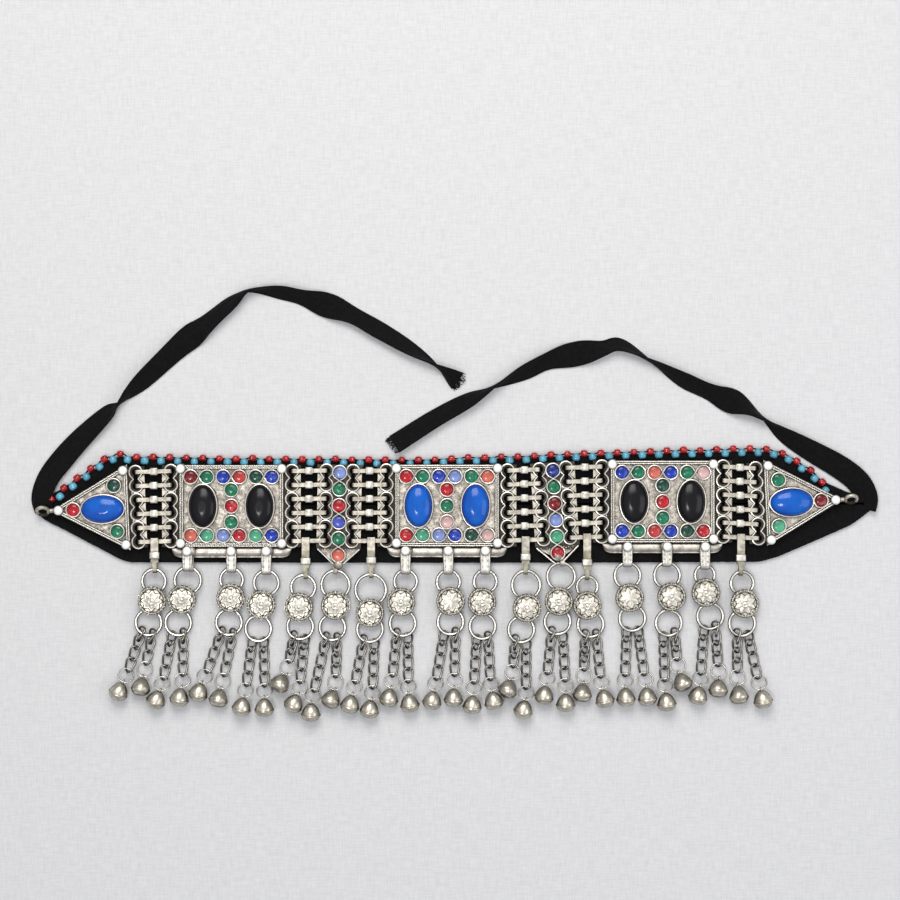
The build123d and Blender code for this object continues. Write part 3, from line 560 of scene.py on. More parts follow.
def addFloor(look):
    mesh = bpy.data.meshes.new("paleFloor")
    h = look["half"]
    mesh.from_pydata([(-h, -h, 0), (h, -h, 0), (h, h, 0), (-h, h, 0)], [], [(0, 1, 2, 3)])
    floor = addObject("paleFloor", mesh)
    material, tree, shader, place = startMaterial("paleFloor")
    cloud = addNoise(tree, place, 500.0, 4.0)
    shade = addRamp(tree, cloud, 0.3, 0.7, look["cloud"])
    for stretch in look["threads"]:
        scaled = addNode(tree, "VectorMath", operation="MULTIPLY", Vector=place)
        scaled.inputs[1].default_value = stretch
        thread = addNoise(tree, scaled.outputs[0], 1.0, 2.0)
        line = addRamp(tree, thread, 0.35, 0.6, look["thread"])
        shade = mixColours(tree, 1.0, shade, line, "MULTIPLY")
    feed(tree, shader, BaseColor=mixColours(tree, 1.0, look["colour"], shade, "MULTIPLY"),
         Roughness=look["rough"])
    addBump(tree, shader, cloud, 0.15, 0.2)
    mesh.materials.append(material)


addFloor(floorLook)


# Finish of the CAD nodes that stay

def coatNode(name, material, angle=35.0):
    node = nodes[name]
    node.data.materials.clear()
    node.data.materials.append(material)
    shadeByAngle(node, angle)


for name in plates:
    coatNode(name, metals["spacerSilver" if name.startswith("spacer") else "plateSilver"])
for name in nodes:
    if name.startswith("medallion"):
        coatNode(name, metals["wireSilver"], 50.0)
    elif name.startswith("link_bars"):
        coatNode(name, metals["barSilver"], 45.0)
    elif name.startswith("cabochon"):
        dark = name.startswith(("cabochon_panel_left", "cabochon_panel_right"))
        coatNode(name, cabochonGlass["blackCabochon" if dark else "blueCabochon"], 60.0)
print("stage: CAD nodes finished")


# Cloth band

bandLook = {
    "outline": [
        (-167.9, 2.0), (-166.0, 5.4), (-160.2, 5.2), (-147.6, 12.0), (-136.4, 19.6), (-132.4, 20.6),
        (-127.6, 20.0), (-60.0, 19.1), (-1.2, 19.2), (60.0, 21.2), (82.0, 21.8), (102.0, 22.2),
        (121.8, 22.6), (129.6, 22.0), (136.6, 19.4), (142.6, 15.4), (148.4, 11.2), (160.6, 5.8),
        (168.0, 5.0), (170.6, 2.6), (169.4, -0.6), (160.8, -7.0), (132.0, -19.5), (124.6, -21.7),
        (60.0, -22.0), (-1.2, -22.1), (-70.0, -22.0), (-129.8, -21.9), (-154.8, -8.8),
        (-162.2, -5.2), (-166.6, -1.6),
    ],
    "rows": [(0.0, 0.35), (0.5, 0.0), (1.3, 0.0), (1.75, 0.35), (1.85, 1.0), (1.80, 2.4),
             (1.86, 4.0)],
    "flat": (0.042, 0.338),
    "area": 0.0128,
}


# The outline moved inwards
def insetLine(points, amount):
    along = unit(np.roll(points, -1, 0) - np.roll(points, 1, 0))
    return points + rightOf(along) * amount


def buildBand(look):
    bag = newBag()
    edge = evenly(look["outline"], 1.5, closed=True)
    for _ in range(2):
        edge = (np.roll(edge, 1, 0) + 2 * edge + np.roll(edge, -1, 0)) / 4
    rings = []
    for height, inset in look["rows"]:
        ring = []
        for x, y in insetLine(edge, inset):
            wave = 0.06 * noise.noise(Vector((x * 0.16, y * 0.16, height)))
            ragged = 0.16 * noise.noise(Vector((x * 0.5, y * 0.5, 3.0)))
            ring.append((x + ragged, y + ragged, max(height + wave * min(height, 0.6), 0.0)))
        rings.append(ring)
    addSkin(bag, rings)
    return makePiece("clothBand", bag, cloths["blackCloth"], 60.0)


band = buildBand(bandLook)
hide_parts("backing_band")


# Ties: a tape that turns over at each narrow place

tieLooks = {
    "tieLeft": {
        "node": "tie_left", "root": (-163.8, 4.2), "tape": 10.0, "flat": (0.010, 0.216),
        "route": [
            (1.2, -5.4, 7.8), (0.0, 0.0, 8.2), (2.6, 7.6, 8.6), (8.6, 15.6, 9.0), (16.2, 24.0, 8.2),
            (26.8, 34.2, 5.6), (31.2, 38.2, 2.4), (40.2, 46.4, 6.2), (55.4, 60.8, 8.8),
            (65.0, 68.6, 7.6), (76.4, 78.2, 5.0), (83.6, 82.6, 2.4), (95.2, 82.2, 4.6),
            (107.0, 79.4, 6.6), (122.2, 74.2, 7.4), (136.2, 66.6, 6.6), (148.0, 59.6, 5.0),
            (158.6, 53.0, 2.4), (167.0, 46.6, 7.6),
        ],
    },
    "tieRight": {
        "node": "tie_right", "root": (167.0, 4.2), "tape": 10.0, "flat": (0.010, 0.218),
        "route": [
            (-0.6, -5.0, 8.0), (0.0, 0.0, 8.6), (-3.2, 6.2, 9.2), (-10.4, 12.0, 9.2),
            (-22.0, 18.6, 8.0), (-32.4, 24.6, 5.4), (-40.6, 30.6, 2.4), (-48.6, 36.2, 6.2),
            (-60.4, 41.2, 7.0), (-73.6, 47.2, 5.4), (-86.8, 55.2, 2.4), (-98.8, 61.2, 4.8),
            (-107.0, 59.4, 6.6), (-125.4, 55.4, 7.2), (-137.2, 50.0, 5.4), (-149.2, 44.0, 2.4),
            (-159.8, 38.8, 5.6), (-173.0, 31.6, 6.8), (-189.4, 21.2, 7.4),
        ],
    },
}
tapeLook = {
    "thickness": 0.7, "step": 1.2, "columns": 13,
    "narrow": 2.6,           # a place of the route below this width is a turn-over
    "bow": 0.9,              # how far the tape cups where it stands on its edge
    "squash": 0.46, "wave": 0.35, "lift": 0.08,
}


# How far the tape has turned over at each place, in radians
def turnsOfTape(widths, full):
    narrow = [i for i, w in enumerate(widths) if w < tapeLook["narrow"]]
    turns, passed = [], 0
    for i, w in enumerate(widths):
        lean = math.acos(min(w / full, 1.0))
        if i in narrow:
            turns.append(math.pi * passed + math.pi / 2)
            passed += 1
            continue
        last = max([n for n in narrow if n < i], default=None)
        coming = min([n for n in narrow if n > i], default=None)
        near = coming is not None and (last is None or coming - i <= i - last)
        turns.append(math.pi * passed + (lean if near else -lean))
    return turns


def buildTie(name, look, tape):
    bag = newBag()
    route = np.array(look["route"])
    turns = turnsOfTape(route[:, 2], look["tape"])
    line = smoothLine(np.column_stack([route[:, :2] + np.array(look["root"]), turns]), 10)
    line = evenly(line, tape["step"])
    xy, turn = line[:, :2], line[:, 2]
    along = unit(np.gradient(xy, axis=0))
    across = rightOf(along)
    columns, half, thick = tape["columns"], look["tape"] / 2, tape["thickness"] / 2
    place = np.linspace(-1, 1, columns)
    rings = []
    for i in range(len(xy)):
        run = i * tape["step"]
        c, s = math.cos(turn[i]), math.sin(turn[i])
        bow = tape["bow"] * abs(s) * (1 - place ** 2)
        wave = np.array([noise.noise(Vector((run * 0.09, p * 1.6, half))) for p in place])
        flatX = place * half * c + bow * s * 0.8
        wave *= tape["wave"] * (0.4 + abs(s))
        flatZ = place * half * s * tape["squash"] + wave + 0.25 * bow
        front = np.stack([flatX - s * thick, flatZ + c * thick], -1)
        back = np.stack([flatX + s * thick, flatZ - c * thick], -1)[::-1]
        layer = np.vstack([front, back])
        layer[:, 1] += tape["lift"] - layer[:, 1].min()
        rings.append([(*(xy[i] + across[i] * x), z) for x, z in layer])
    addSkin(bag, rings)
    tie = makePiece(name, bag, cloths["blackTape"], 60.0)
    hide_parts(look["node"])
    end = [np.array(corner) for corner in rings[-1][:columns]]
    return tie, end, np.array([*along[-1], 0.0])


frayLook = {"threads": 26, "reach": (0.6, 2.4), "bend": 0.6, "radius": (0.13, 0.24)}


# Loose threads at a cut end
def frayEnd(name, places, along, seed, look):
    rng = random.Random(seed)
    bag = newBag()
    side = np.array([-along[1], along[0], 0.0])
    for _ in range(look["threads"]):
        t = rng.random() * (len(places) - 1)
        base = places[int(t)] * (1 - t % 1) + places[min(int(t) + 1, len(places) - 1)] * (t % 1)
        reach, bend = rng.uniform(*look["reach"]), rng.uniform(-look["bend"], look["bend"])
        points = []
        for step in np.linspace(-0.3, 1, 6):
            p = base + along * reach * step + side * bend * reach * step * step
            p[2] = max(p[2] * (1 - 0.5 * max(step, 0)), 0.15)
            points.append(p)
        addTube(bag, points, rng.uniform(*look["radius"]), 5)
    return makePiece(name, bag, cloths["blackThread"], 60.0)


for name, look in tieLooks.items():
    tie, end, along = buildTie(name, look, tapeLook)
    fray = frayEnd(name + "Fray", end, along, len(name), frayLook)
print("stage: cloth band and ties")


# Seed beads sewn along the upper edge, red ones outside and turquoise ones between

edging = {
    "line": [
        (-159.8, 3.6), (-154.6, 7.8), (-149.6, 11.6), (-145.0, 14.8), (-139.4, 19.0),
        (-132.8, 21.4), (-125.4, 20.5), (-88.0, 19.8), (-52.0, 19.6), (-16.0, 19.2), (2.4, 20.0),
        (30.0, 20.8), (56.0, 22.0), (82.4, 22.8), (102.0, 23.2), (121.8, 23.7), (129.2, 23.1),
        (135.9, 20.9), (141.6, 17.2), (146.8, 13.2), (151.6, 8.0),
    ],
    "pitch": 6.68,
    "redRadius": 1.42,
    "turquoiseRadius": 1.60,
    "drop": 1.55,            # how much nearer to the band the turquoise ones lie
    "thread": 0.3,
    "redLength": 2.3 / 1.3, "turquoiseLength": 2.6, "heights": (2.0, 2.5, 3.0), "nudge": 0.25,
    "threadFrom": 1.25, "threadOver": 1.2,
}


def addBead(bag, centre, axis, radius, length):
    axis = np.asarray(axis, float) / np.linalg.norm(axis)
    side = unit(np.cross(axis, (0, 0, 1.0)))
    top = np.cross(side, axis)
    hole, sides, steps = radius * 0.28, 14, 12
    profile = [(length / 2 * math.sin(a), (radius + hole) / 2 + (radius - hole) / 2 * math.cos(a))
               for a in around(steps)]
    corners = [[np.asarray(centre) + axis * u + (side * math.cos(a) + top * math.sin(a)) * r
                for a in around(sides)] for u, r in profile]
    addForm(bag, corners, gridFaces(steps, sides, closed=True))


def buildEdging(look):
    rng = random.Random(5)
    stations = evenly(smoothLine(look["line"], 10), look["pitch"] / 2)
    along = unit(np.gradient(stations, axis=0))
    red, turquoise, thread, threadLine = newBag(), newBag(), newBag(), []
    redHeight, turquoiseHeight, threadHeight = look["heights"]
    for i, (here, direction, down) in enumerate(zip(stations, along, rightOf(along))):
        if i % 2 == 0:
            r = look["redRadius"] * rng.uniform(0.93, 1.07)
            middle = here + down * rng.uniform(-look["nudge"], look["nudge"])
            axis = (*direction, rng.uniform(-look["nudge"], look["nudge"]))
            addBead(red, (*middle, redHeight), axis, r, look["redLength"] * r)
            for run in (-look["threadFrom"], look["threadFrom"]):
                threadLine.append((*(middle + direction * run), redHeight))
        else:
            r = look["turquoiseRadius"] * rng.uniform(0.93, 1.05)
            middle = here + down * look["drop"]
            axis = (down[0] + rng.uniform(-0.2, 0.2), down[1], 0.15)
            addBead(turquoise, (*middle, turquoiseHeight), axis, r, look["turquoiseLength"])
            threadLine.append((*(middle - down * look["threadOver"]), threadHeight))
    addTube(thread, smoothLine(threadLine, 5), look["thread"], 6)
    makePiece("redSeedBeads", red, beads["redBead"], 60.0)
    makePiece("turquoiseSeedBeads", turquoise, beads["turquoiseBead"], 60.0)
    makePiece("edgingThread", thread, cloths["blackThread"], 60.0)


buildEdging(edging)
print("stage: bead edging")


# Small stones, bezel wires, rope borders and grains of each plate

hues = {
    "red": {"red": (0.66, 0.012, 0.022), "darkRed": (0.26, 0.005, 0.008),
            "salmon": (0.90, 0.19, 0.13), "paleRed": (0.72, 0.06, 0.06),
            "pink": (0.88, 0.56, 0.54)},
    "green": {"green": (0.003, 0.23, 0.11), "darkGreen": (0.003, 0.075, 0.045),
              "mint": (0.10, 0.52, 0.30)},
    "blue": {"blue": (0.008, 0.055, 0.60), "darkBlue": (0.005, 0.030, 0.30),
             "lightBlue": (0.30, 0.40, 0.86), "violetBlue": (0.10, 0.14, 0.70)},
}

stoneRows = {
    "panel_left": {
        "top": ["darkRed", "green", "blue", "paleRed", "darkGreen", "blue"],
        "middle": ["green", "red", "green"],
        "bottom": ["salmon", "mint", "lightBlue", "red", "mint", "blue"],
    },
    "panel_centre": {
        "top": ["red", "green", "blue", "lightBlue", "green", "salmon"],
        "middle": ["red", "green", "pink"],
        "bottom": ["red", "mint", "lightBlue", "blue", "darkGreen", "pink"],
    },
    "panel_right": {
        "top": ["blue", "green", "salmon", "blue", "green", "pink"],
        "middle": ["darkGreen", "red", "green"],
        "bottom": ["blue", "green", "paleRed", "blue", "darkGreen", "red"],
    },
}
spacerStones = {
    "spacer_left": ["lightBlue", "green", "red", "violetBlue", "green", "salmon"],
    "spacer_right": ["darkBlue", "green", "darkRed", "lightBlue", "mint", "red"],
}
endStones = {
    "end_plate_left": ["darkGreen", "green", "red"],
    "end_plate_right": ["green", "mint", "darkRed"],
}

workLook = {
    "bezelRadius": 2.80, "bezelWire": 0.30, "stoneRadius": 2.46, "stoneRise": 0.85,
    "stoneFoot": 4.38, "stoneWall": 5.32, "stoneRoom": 3.35,          # no grains within the room
    "ropeRadius": 0.36, "ropeLay": 1.9, "ropeInsets": (0.42, 1.22),
    "oval": 0.32, "ovalGap": 0.33, "ovalRoom": 0.95,                  # wire round a cabochon
    "grainRadius": 0.30, "grainGap": 0.95,
    "lobePitch": 5.6, "lobeRadius": 2.55, "flangeWire": 0.36,
    "pinch": 0.95, "pinchGrain": (1.75, 0.42, 0.4), "tab": (1.35, 3.5, 1.75), "tabRise": 0.22,
}
bezelHeight = levels["colletTop"] + workLook["bezelWire"] * 0.5
stoneBags = {family: {"bag": newBag(), "tints": [], "paintedFoilLight": []} for family in hues}


# A low foiled dome, brighter at its lower side where the foil shows: painted light, which also
# grows towards the top and is least at the foot
def addStone(plate, x, y, hue, look, rng):
    family = next(family for family, shades in hues.items() if hue in shades)
    store = stoneBags[family]
    rings, sides, radius, height = 7, 20, look["stoneRadius"], look["stoneRise"]
    colour = np.array(hues[family][hue]) * rng.uniform(0.9, 1.1)
    paintedGlowAngle = math.radians(rng.uniform(235, 310))
    corners, paintedFoilLight = [], []
    for k in range(rings):
        level = k / rings * math.pi / 2
        r = radius * math.cos(level) ** 0.8
        corners += ringPoints(x, y, r, look["stoneWall"] + height * math.sin(level), sides)
        for a in around(sides):
            # painted light of the foil: strongest towards the chosen side and towards the top
            towards = math.cos(a - paintedGlowAngle) * r / radius
            paintedFoilLight.append(min(max(0.45 + 0.5 * towards + 0.25 * (k / rings), 0.05), 1.0))
    corners.append((x, y, look["stoneWall"] + height))
    corners += ringPoints(x, y, radius, look["stoneFoot"], sides)
    paintedFoilLight += [0.6] + [0.1] * sides
    addLid(store["bag"], onPlate(plate, corners), rings, sides)
    store["tints"] += [tuple(colour)] * len(corners)
    store["paintedFoilLight"] += paintedFoilLight


def circlePoints(x, y, radius, z, start=0.0, sweep=360.0, count=28):
    closed = abs(sweep) >= 360
    return [(x + radius * math.cos(math.radians(a)), y + radius * math.sin(math.radians(a)), z)
            for a in np.linspace(start, start + sweep, count, endpoint=not closed)]


def addWire(bag, plate, points, wire, closed=True):
    addTube(bag, onPlate(plate, points), wire, 7, closed)


# One wire round two stones, crossing itself between them
def eightPoints(first, second, radius, z, wire):
    first, second = np.array(first), np.array(second)
    gap = second - first
    heading = math.degrees(math.atan2(gap[1], gap[0]))
    bare = math.degrees(math.acos(min(2 * radius / float(np.linalg.norm(gap)), 1.0)))
    a = circlePoints(*first, radius, z, heading + bare, 360 - 2 * bare - 0.01, 26)
    b = circlePoints(*second, radius, z, heading + 180 - bare, -(360 - 2 * bare) + 0.01, 26)
    over, under = [], []
    for t in np.linspace(0, 1, 8)[1:-1]:
        lift = np.array((0, 0, wire * 1.1 * math.sin(math.pi * t)))
        over.append(tuple(np.array(a[-1]) * (1 - t) + np.array(b[0]) * t + lift))
        under.append(tuple(np.array(b[-1]) * (1 - t) + np.array(a[0]) * t - lift * 0.6))
    return a + over + b + under


# Stones in their settings, with the places where no grain goes
def addStones(name, places, stoneHues, look, rng):
    for (x, y), hue in zip(places, stoneHues):
        addStone(name, x, y, hue, look, rng)
    return [(x, y, look["stoneRoom"], look["stoneRoom"]) for x, y in places]


def pairWires(bag, name, places, look):
    for first, second in zip(places[::2], places[1::2]):
        path = eightPoints(first, second, look["bezelRadius"], bezelHeight, look["bezelWire"])
        addWire(bag, name, path, look["bezelWire"])


def bezelWire(bag, name, x, y, z, look):
    addWire(bag, name, circlePoints(x, y, look["bezelRadius"], z), look["bezelWire"])


def cabochonWire(bag, name, x, y, a, b, look):
    wide, high, z = a + look["ovalGap"], b + look["ovalGap"], levels["cupTop"] + 0.08
    addWire(bag, name, ringPoints(x, y, wide, z, 56, high), look["oval"])
    return [(x, y, a + look["ovalRoom"], b + look["ovalRoom"])]


# A closed outline moved inwards, corner by corner
def insetCorners(corners, inset):
    corners = [np.array(c, float) for c in corners]
    area = sum(a[0] * b[1] - a[1] * b[0] for a, b in zip(corners, corners[1:] + corners[:1]))
    turn = 1.0 if area > 0 else -1.0
    made = []
    for i, here in enumerate(corners):
        before, after = corners[i - 1], corners[(i + 1) % len(corners)]
        u = (here - before) / np.linalg.norm(here - before)
        v = (after - here) / np.linalg.norm(after - here)
        n1, n2 = np.array([-u[1], u[0]]) * turn, np.array([-v[1], v[0]]) * turn
        bisector = n1 + n2
        bisector /= np.linalg.norm(bisector)
        made.append(here + bisector * inset / max(float(bisector @ n1), 0.35))
    return made


def ropeBorder(bag, plate, corners, look):
    for inset in look["ropeInsets"]:
        z = levels["rimTop"] + look["ropeRadius"] * 0.7
        line = [(x, y, z) for x, y in insetCorners(corners, inset)]
        path = evenly(line, look["ropeLay"] / 7, closed=True)
        addRope(bag, onPlate(plate, path), look["ropeRadius"], look["ropeLay"])


tabBag = newBag()


# A pale triangle of metal between two bars, pointing at the holes
def addTab(bag, plate, column, towards, y, look):
    tip, base, half = look["tab"]
    flat = [(column + towards * reach, y + rise)
            for reach, rise in ((tip, 0), (base, half), (base, -half))]
    corners = [(px, py, levels["flangeTop"] + up) for up in (0, look["tabRise"]) for px, py in flat]
    start = bag["count"]
    addForm(bag, onPlate(plate, corners), [])
    bag["faces"] += [[start + i for i in face] for face in
                     ((0, 2, 1), (3, 4, 5), (0, 1, 4, 3), (1, 2, 5, 4), (2, 0, 3, 5))]


# Scalloped wire round each double-lobed hole, pinched between its two lobes
def flangeWires(bag, plate, column, side, look):
    radius, wire, pitch = look["lobeRadius"], look["flangeWire"], look["lobePitch"]
    z = levels["flangeTop"] + wire * 0.6
    for pair in range(3):
        middle = (pair - 1) * 2 * pitch
        points = circlePoints(column, middle + pitch / 2, radius, z, -38, 256, 30)
        points.append((column - look["pinch"], middle, z))
        points += circlePoints(column, middle - pitch / 2, radius, z, 142, 256, 30)
        points.append((column + look["pinch"], middle, z))
        addWire(bag, plate, points, wire)
    towards = -side if kindOf(plate) == "end" else side
    for step in range(-2, 3):
        addTab(tabBag, plate, column, towards, step * pitch, look)
    reach, size, rise = look["pinchGrain"]
    for gap in (-1, 1):
        for end in (-1, 1):
            spot = onPlate(plate, [(column + end * reach, gap * pitch, levels["flangeTop"])])[0]
            addDome(bag, spot, size, rise)


# Small grains soldered close together on the bare ground: a field is its box and the tries in it,
# with a test of its own if it isn't an oblong
def grainField(bag, plate, field, holes, look, rng):
    (x0, x1), (y0, y1), tries, inside = field
    kept, cell = {}, look["grainGap"]
    for _ in range(tries):
        x, y = rng.uniform(x0, x1), rng.uniform(y0, y1)
        if inside and not inside(x, y):
            continue
        if any(((x - cx) / a) ** 2 + ((y - cy) / b) ** 2 < 1 for cx, cy, a, b in holes):
            continue
        column, row = int(x // cell), int(y // cell)
        near = [p for dx in (-1, 0, 1) for dy in (-1, 0, 1)
                for p in kept.get((column + dx, row + dy), [])]
        if any((x - px) ** 2 + (y - py) ** 2 < cell * cell for px, py in near):
            continue
        kept.setdefault((column, row), []).append((x, y))
        radius = look["grainRadius"] * rng.uniform(0.8, 1.25)
        addDome(bag, onPlate(plate, [(x, y, levels["plateTop"] - 0.02)])[0], radius, radius, 2, 6)


panelLook = {
    "halfWidth": 20.8, "halfHeight": 16.4, "stonePitch": 6.5, "rowHeight": 11.7,
    "cabochonHalf": (5.4, 8.4), "cabochonOffset": 11.4, "holeColumn": 24.2,
    "margin": 2, "tries": 5200,
}
spacerLook = {
    "holeColumn": 5.3, "stoneTop": 13.3, "stonePitch": 6.6,
    "slope": ((8.4, -17.3), (0.9, -24.2)), "slopeWire": 0.34,         # wires of the pointed foot
    "footHalf": 7.5, "footTop": -17.4, "footLow": -23.5, "tries": 700,
    "footTip": -23.6, "footWiden": 7.4 / 6.0, "footMargin": 0.4,
}
endLook = {
    "base": 3.2, "tip": 32.4, "halfHeight": 17.2, "tipHalf": 0.9, "fall": 16.3 / 29.2,
    "stones": ((5.6, 9.0), (5.0, -9.4), (22.2, 0)), "lowerBezel": 0.6,
    "cabochonHalf": (8.4, 5.4), "cabochon": (10.4, -0.2),
    "grainsTo": (2.0, 26.5), "margin": 2.3, "tries": 3600,
}


def dressPanel(bag, name, panel, look, rng):
    wide, high, pitch = panel["halfWidth"], panel["halfHeight"], panel["stonePitch"]
    ropeBorder(bag, name, [(-wide, -high), (wide, -high), (wide, high), (-wide, high)], look)
    holes = []
    for row, y in (("top", panel["rowHeight"]), ("bottom", -panel["rowHeight"])):
        places = [((i - 2.5) * pitch, y) for i in range(6)]
        holes += addStones(name, places, stoneRows[name][row], look, rng)
        pairWires(bag, name, places, look)
    places = [(0, (1 - i) * pitch) for i in range(3)]
    holes += addStones(name, places, stoneRows[name]["middle"], look, rng)
    for x, y in places:
        bezelWire(bag, name, x, y, bezelHeight, look)
    for side in (-1, 1):
        x = side * panel["cabochonOffset"]
        holes += cabochonWire(bag, name, x, 0, *panel["cabochonHalf"], look)
        flangeWires(bag, name, side * panel["holeColumn"], side, look)
    wide, high = wide - panel["margin"], high - panel["margin"]
    grainField(bag, name, ((-wide, wide), (-high, high), panel["tries"], None), holes, look, rng)


def dressSpacer(bag, name, spacer, look, rng):
    places = [(0, spacer["stoneTop"] - i * spacer["stonePitch"]) for i in range(6)]
    holes = addStones(name, places, spacerStones[name], look, rng)
    pairWires(bag, name, places, look)
    for side in (-1, 1):
        flangeWires(bag, name, side * spacer["holeColumn"], side, look)
        slope = [(side * x, y, levels["plateTop"] + 0.1) for x, y in spacer["slope"]]
        addWire(bag, name, evenly(slope, 1.0), spacer["slopeWire"], closed=False)
    half, low, high = spacer["footHalf"], spacer["footLow"], spacer["footTop"]

    def insideFoot(x, y):
        widest = spacer["footWiden"] * (y - spacer["footTip"]) - spacer["footMargin"]
        return abs(x) < widest and y < high

    field = ((-half, half), (low, high), spacer["tries"], insideFoot)
    grainField(bag, name, field, holes, look, rng)


def dressEnd(bag, name, plate, look, rng):
    side = sideOf(name)
    base, tip, half = side * plate["base"], side * plate["tip"], plate["halfHeight"]
    small = plate["tipHalf"]
    ropeBorder(bag, name, [(base, -half), (base, half), (tip, small), (tip, -small)], look)
    places = [(base + side * x, y) for x, y in plate["stones"]]
    holes = addStones(name, places, endStones[name], look, rng)
    for x, y in places:
        for z in (bezelHeight, bezelHeight - plate["lowerBezel"]):
            bezelWire(bag, name, x, y, z, look)
    x, y = plate["cabochon"]
    holes += cabochonWire(bag, name, base + side * x, y, *plate["cabochonHalf"], look)
    flangeWires(bag, name, 0, side, look)
    near, far = plate["grainsTo"]

    def insideTriangle(px, py):
        along = (px - base) * side
        return near < along < far and abs(py) < (half - along * plate["fall"]) - plate["margin"]

    field = (sorted((base, tip)), (-16, 16), plate["tries"], insideTriangle)
    grainField(bag, name, field, holes, look, rng)


def cornersOf(name):
    mesh = nodes[name].data
    corners = np.zeros(len(mesh.vertices) * 3)
    mesh.vertices.foreach_get("co", corners)
    return corners.reshape(-1, 3) / mm


# Middle of the eye that each upper ring hangs from, found from the ring's furthest point
def eyeOfRing(number):
    corners = cornersOf(f"medallion_{number:02d}")
    top = corners[corners[:, 1] > corners[:, 1].max() - 0.25]
    return float(top[:, 0].mean()), float(top[:, 1].max())


hosts = {"panel_left": (2, 3, 4), "panel_centre": (8, 9, 10), "panel_right": (14, 15, 16)}
eyesOf = {name: [eyeOfRing(number) for number in numbers] for name, numbers in hosts.items()}

# Flat bright grains: half width, foot and top, and their places on the panels and the end plates
grainLook = {
    "radius": 1.95, "foot": 4.30, "top": 6.75,
    "profile": ((1.0, 0.0), (1.0, 0.62), (0.93, 0.86), (0.80, 0.97), (0.45, 1.0)),
    "panelCorner": (20.2, 14.9), "aboveHanger": -18.0, "endCorner": (4.8, 14.8), "endTip": 31.2,
}


def addFlatGrain(bag, plate, x, y, look):
    foot, top = look["foot"], look["top"]
    rings = [circlePoints(x, y, look["radius"] * share, foot + (top - foot) * up, count=20)
             for share, up in look["profile"]]
    addSkin(bag, [onPlate(plate, ring) for ring in rings])


def brightGrains(look):
    bag = newBag()
    for name in plates:
        spots = []
        if kindOf(name) == "panel":
            x, y = look["panelCorner"]
            spots = [(a * x, b * y) for a in (-1, 1) for b in (-1, 1)]
            spots += [(eye[0] - plates[name][0], look["aboveHanger"]) for eye in eyesOf[name]]
        elif kindOf(name) == "end":
            side, (x, y) = sideOf(name), look["endCorner"]
            spots = [(side * x, y), (side * x, -y), (side * look["endTip"], 0.0)]
        for x, y in spots:
            addFlatGrain(bag, name, x, y, look)
    makePiece("flatGrains", bag, metals["grainSilver"], 60.0)


brightGrains(grainLook)


# A strip laid along y: path rows are (y, z, width, depth), profile is its top across
def addStrip(bag, x, path, profile):
    rings = []
    for y, z, width, depth in path:
        top = [(x + width / 2 * u, y, z + rise) for u, rise in profile]
        rings.append(top + [(x + width / 2, y, z - depth), (x - width / 2, y, z - depth)])
    addSkin(bag, rings, flip=True)


ribbed = [(-1, -0.15), (-0.86, 0.26), (-0.66, 0.30), (-0.5, 0.02), (-0.2, 0.10), (0, 0.16),
          (0.2, 0.10), (0.5, 0.02), (0.66, 0.30), (0.86, 0.26), (1, -0.15)]
rounded = [(-1, -0.55), (-0.96, -0.2), (-0.8, 0.0), (0, 0.06), (0.8, 0.0), (0.96, -0.2), (1, -0.55)]

# Ribbed front of each panel's straps, above the ring. Ends are (y from the eye, z, width, depth).
hangerLook = {
    "top": -17.6, "height": 5.02, "width": 4.4, "taper": 0.4, "depth": 0.5,
    "ends": ((0.9, 4.9, 3.9, 0.5), (1.7, 4.5, 3.6, 0.5), (2.1, 4.0, 3.2, 0.4)),
    "knots": (0.25, 0.55, 0.85), "knotAside": 0.28 * 4.2, "knotHeight": 5.1, "knotSize": 0.42,
}


def hangerFaces(look):
    bag = newBag()
    for name, eyes in eyesOf.items():
        for x, y in eyes:
            low = plates[name][1] + look["top"]
            path = [(low + (y - low) * t, look["height"], look["width"] - look["taper"] * t,
                     look["depth"]) for t in np.linspace(0, 1, 7)]
            path += [(y - under, z, width, depth) for under, z, width, depth in look["ends"]]
            addStrip(bag, x, path, ribbed)
            for knot in look["knots"]:
                for end in (-1, 1):
                    spot = (x + end * look["knotAside"], low + (y - low) * knot, look["knotHeight"])
                    addDome(bag, spot, look["knotSize"], look["knotSize"])
    makePiece("hangerFaces", bag, metals["collarSilver"], 50.0)


hangerFaces(hangerLook)

strapDrops = (1, 5, 7, 11, 13, 17)
columnOf = {"panel": panelLook["holeColumn"], "spacer": spacerLook["holeColumn"], "end": 0.0}
gapLook = {
    "bars": (14.0, 8.4, 2.8, -2.8, -8.4),
    "collar": (3.0, 3.0, 5.02, 1.3),          # width, length, height and depth
    "cuff": (4.0, 2.8, 5.5, 1.9),
    "cuffRise": 5.2,                          # above the strap's eye
    "strapBelow": -18.0,                      # only a strap reaches below this y
}


def strapMiddle(gap, below):
    corners = cornersOf(f"link_bars_gap_{gap}")
    strap = corners[corners[:, 1] < below][:, 0]
    return float(strap.min() + strap.max()) / 2


def addCollar(bag, x, y, size):
    width, length, z, depth = size
    path = [(y + length / 2 * t, z - 0.35 * abs(t) ** 6, width, depth)
            for t in (-1, -0.9, -0.7, 0, 0.7, 0.9, 1)]
    addStrip(bag, x, path, rounded)


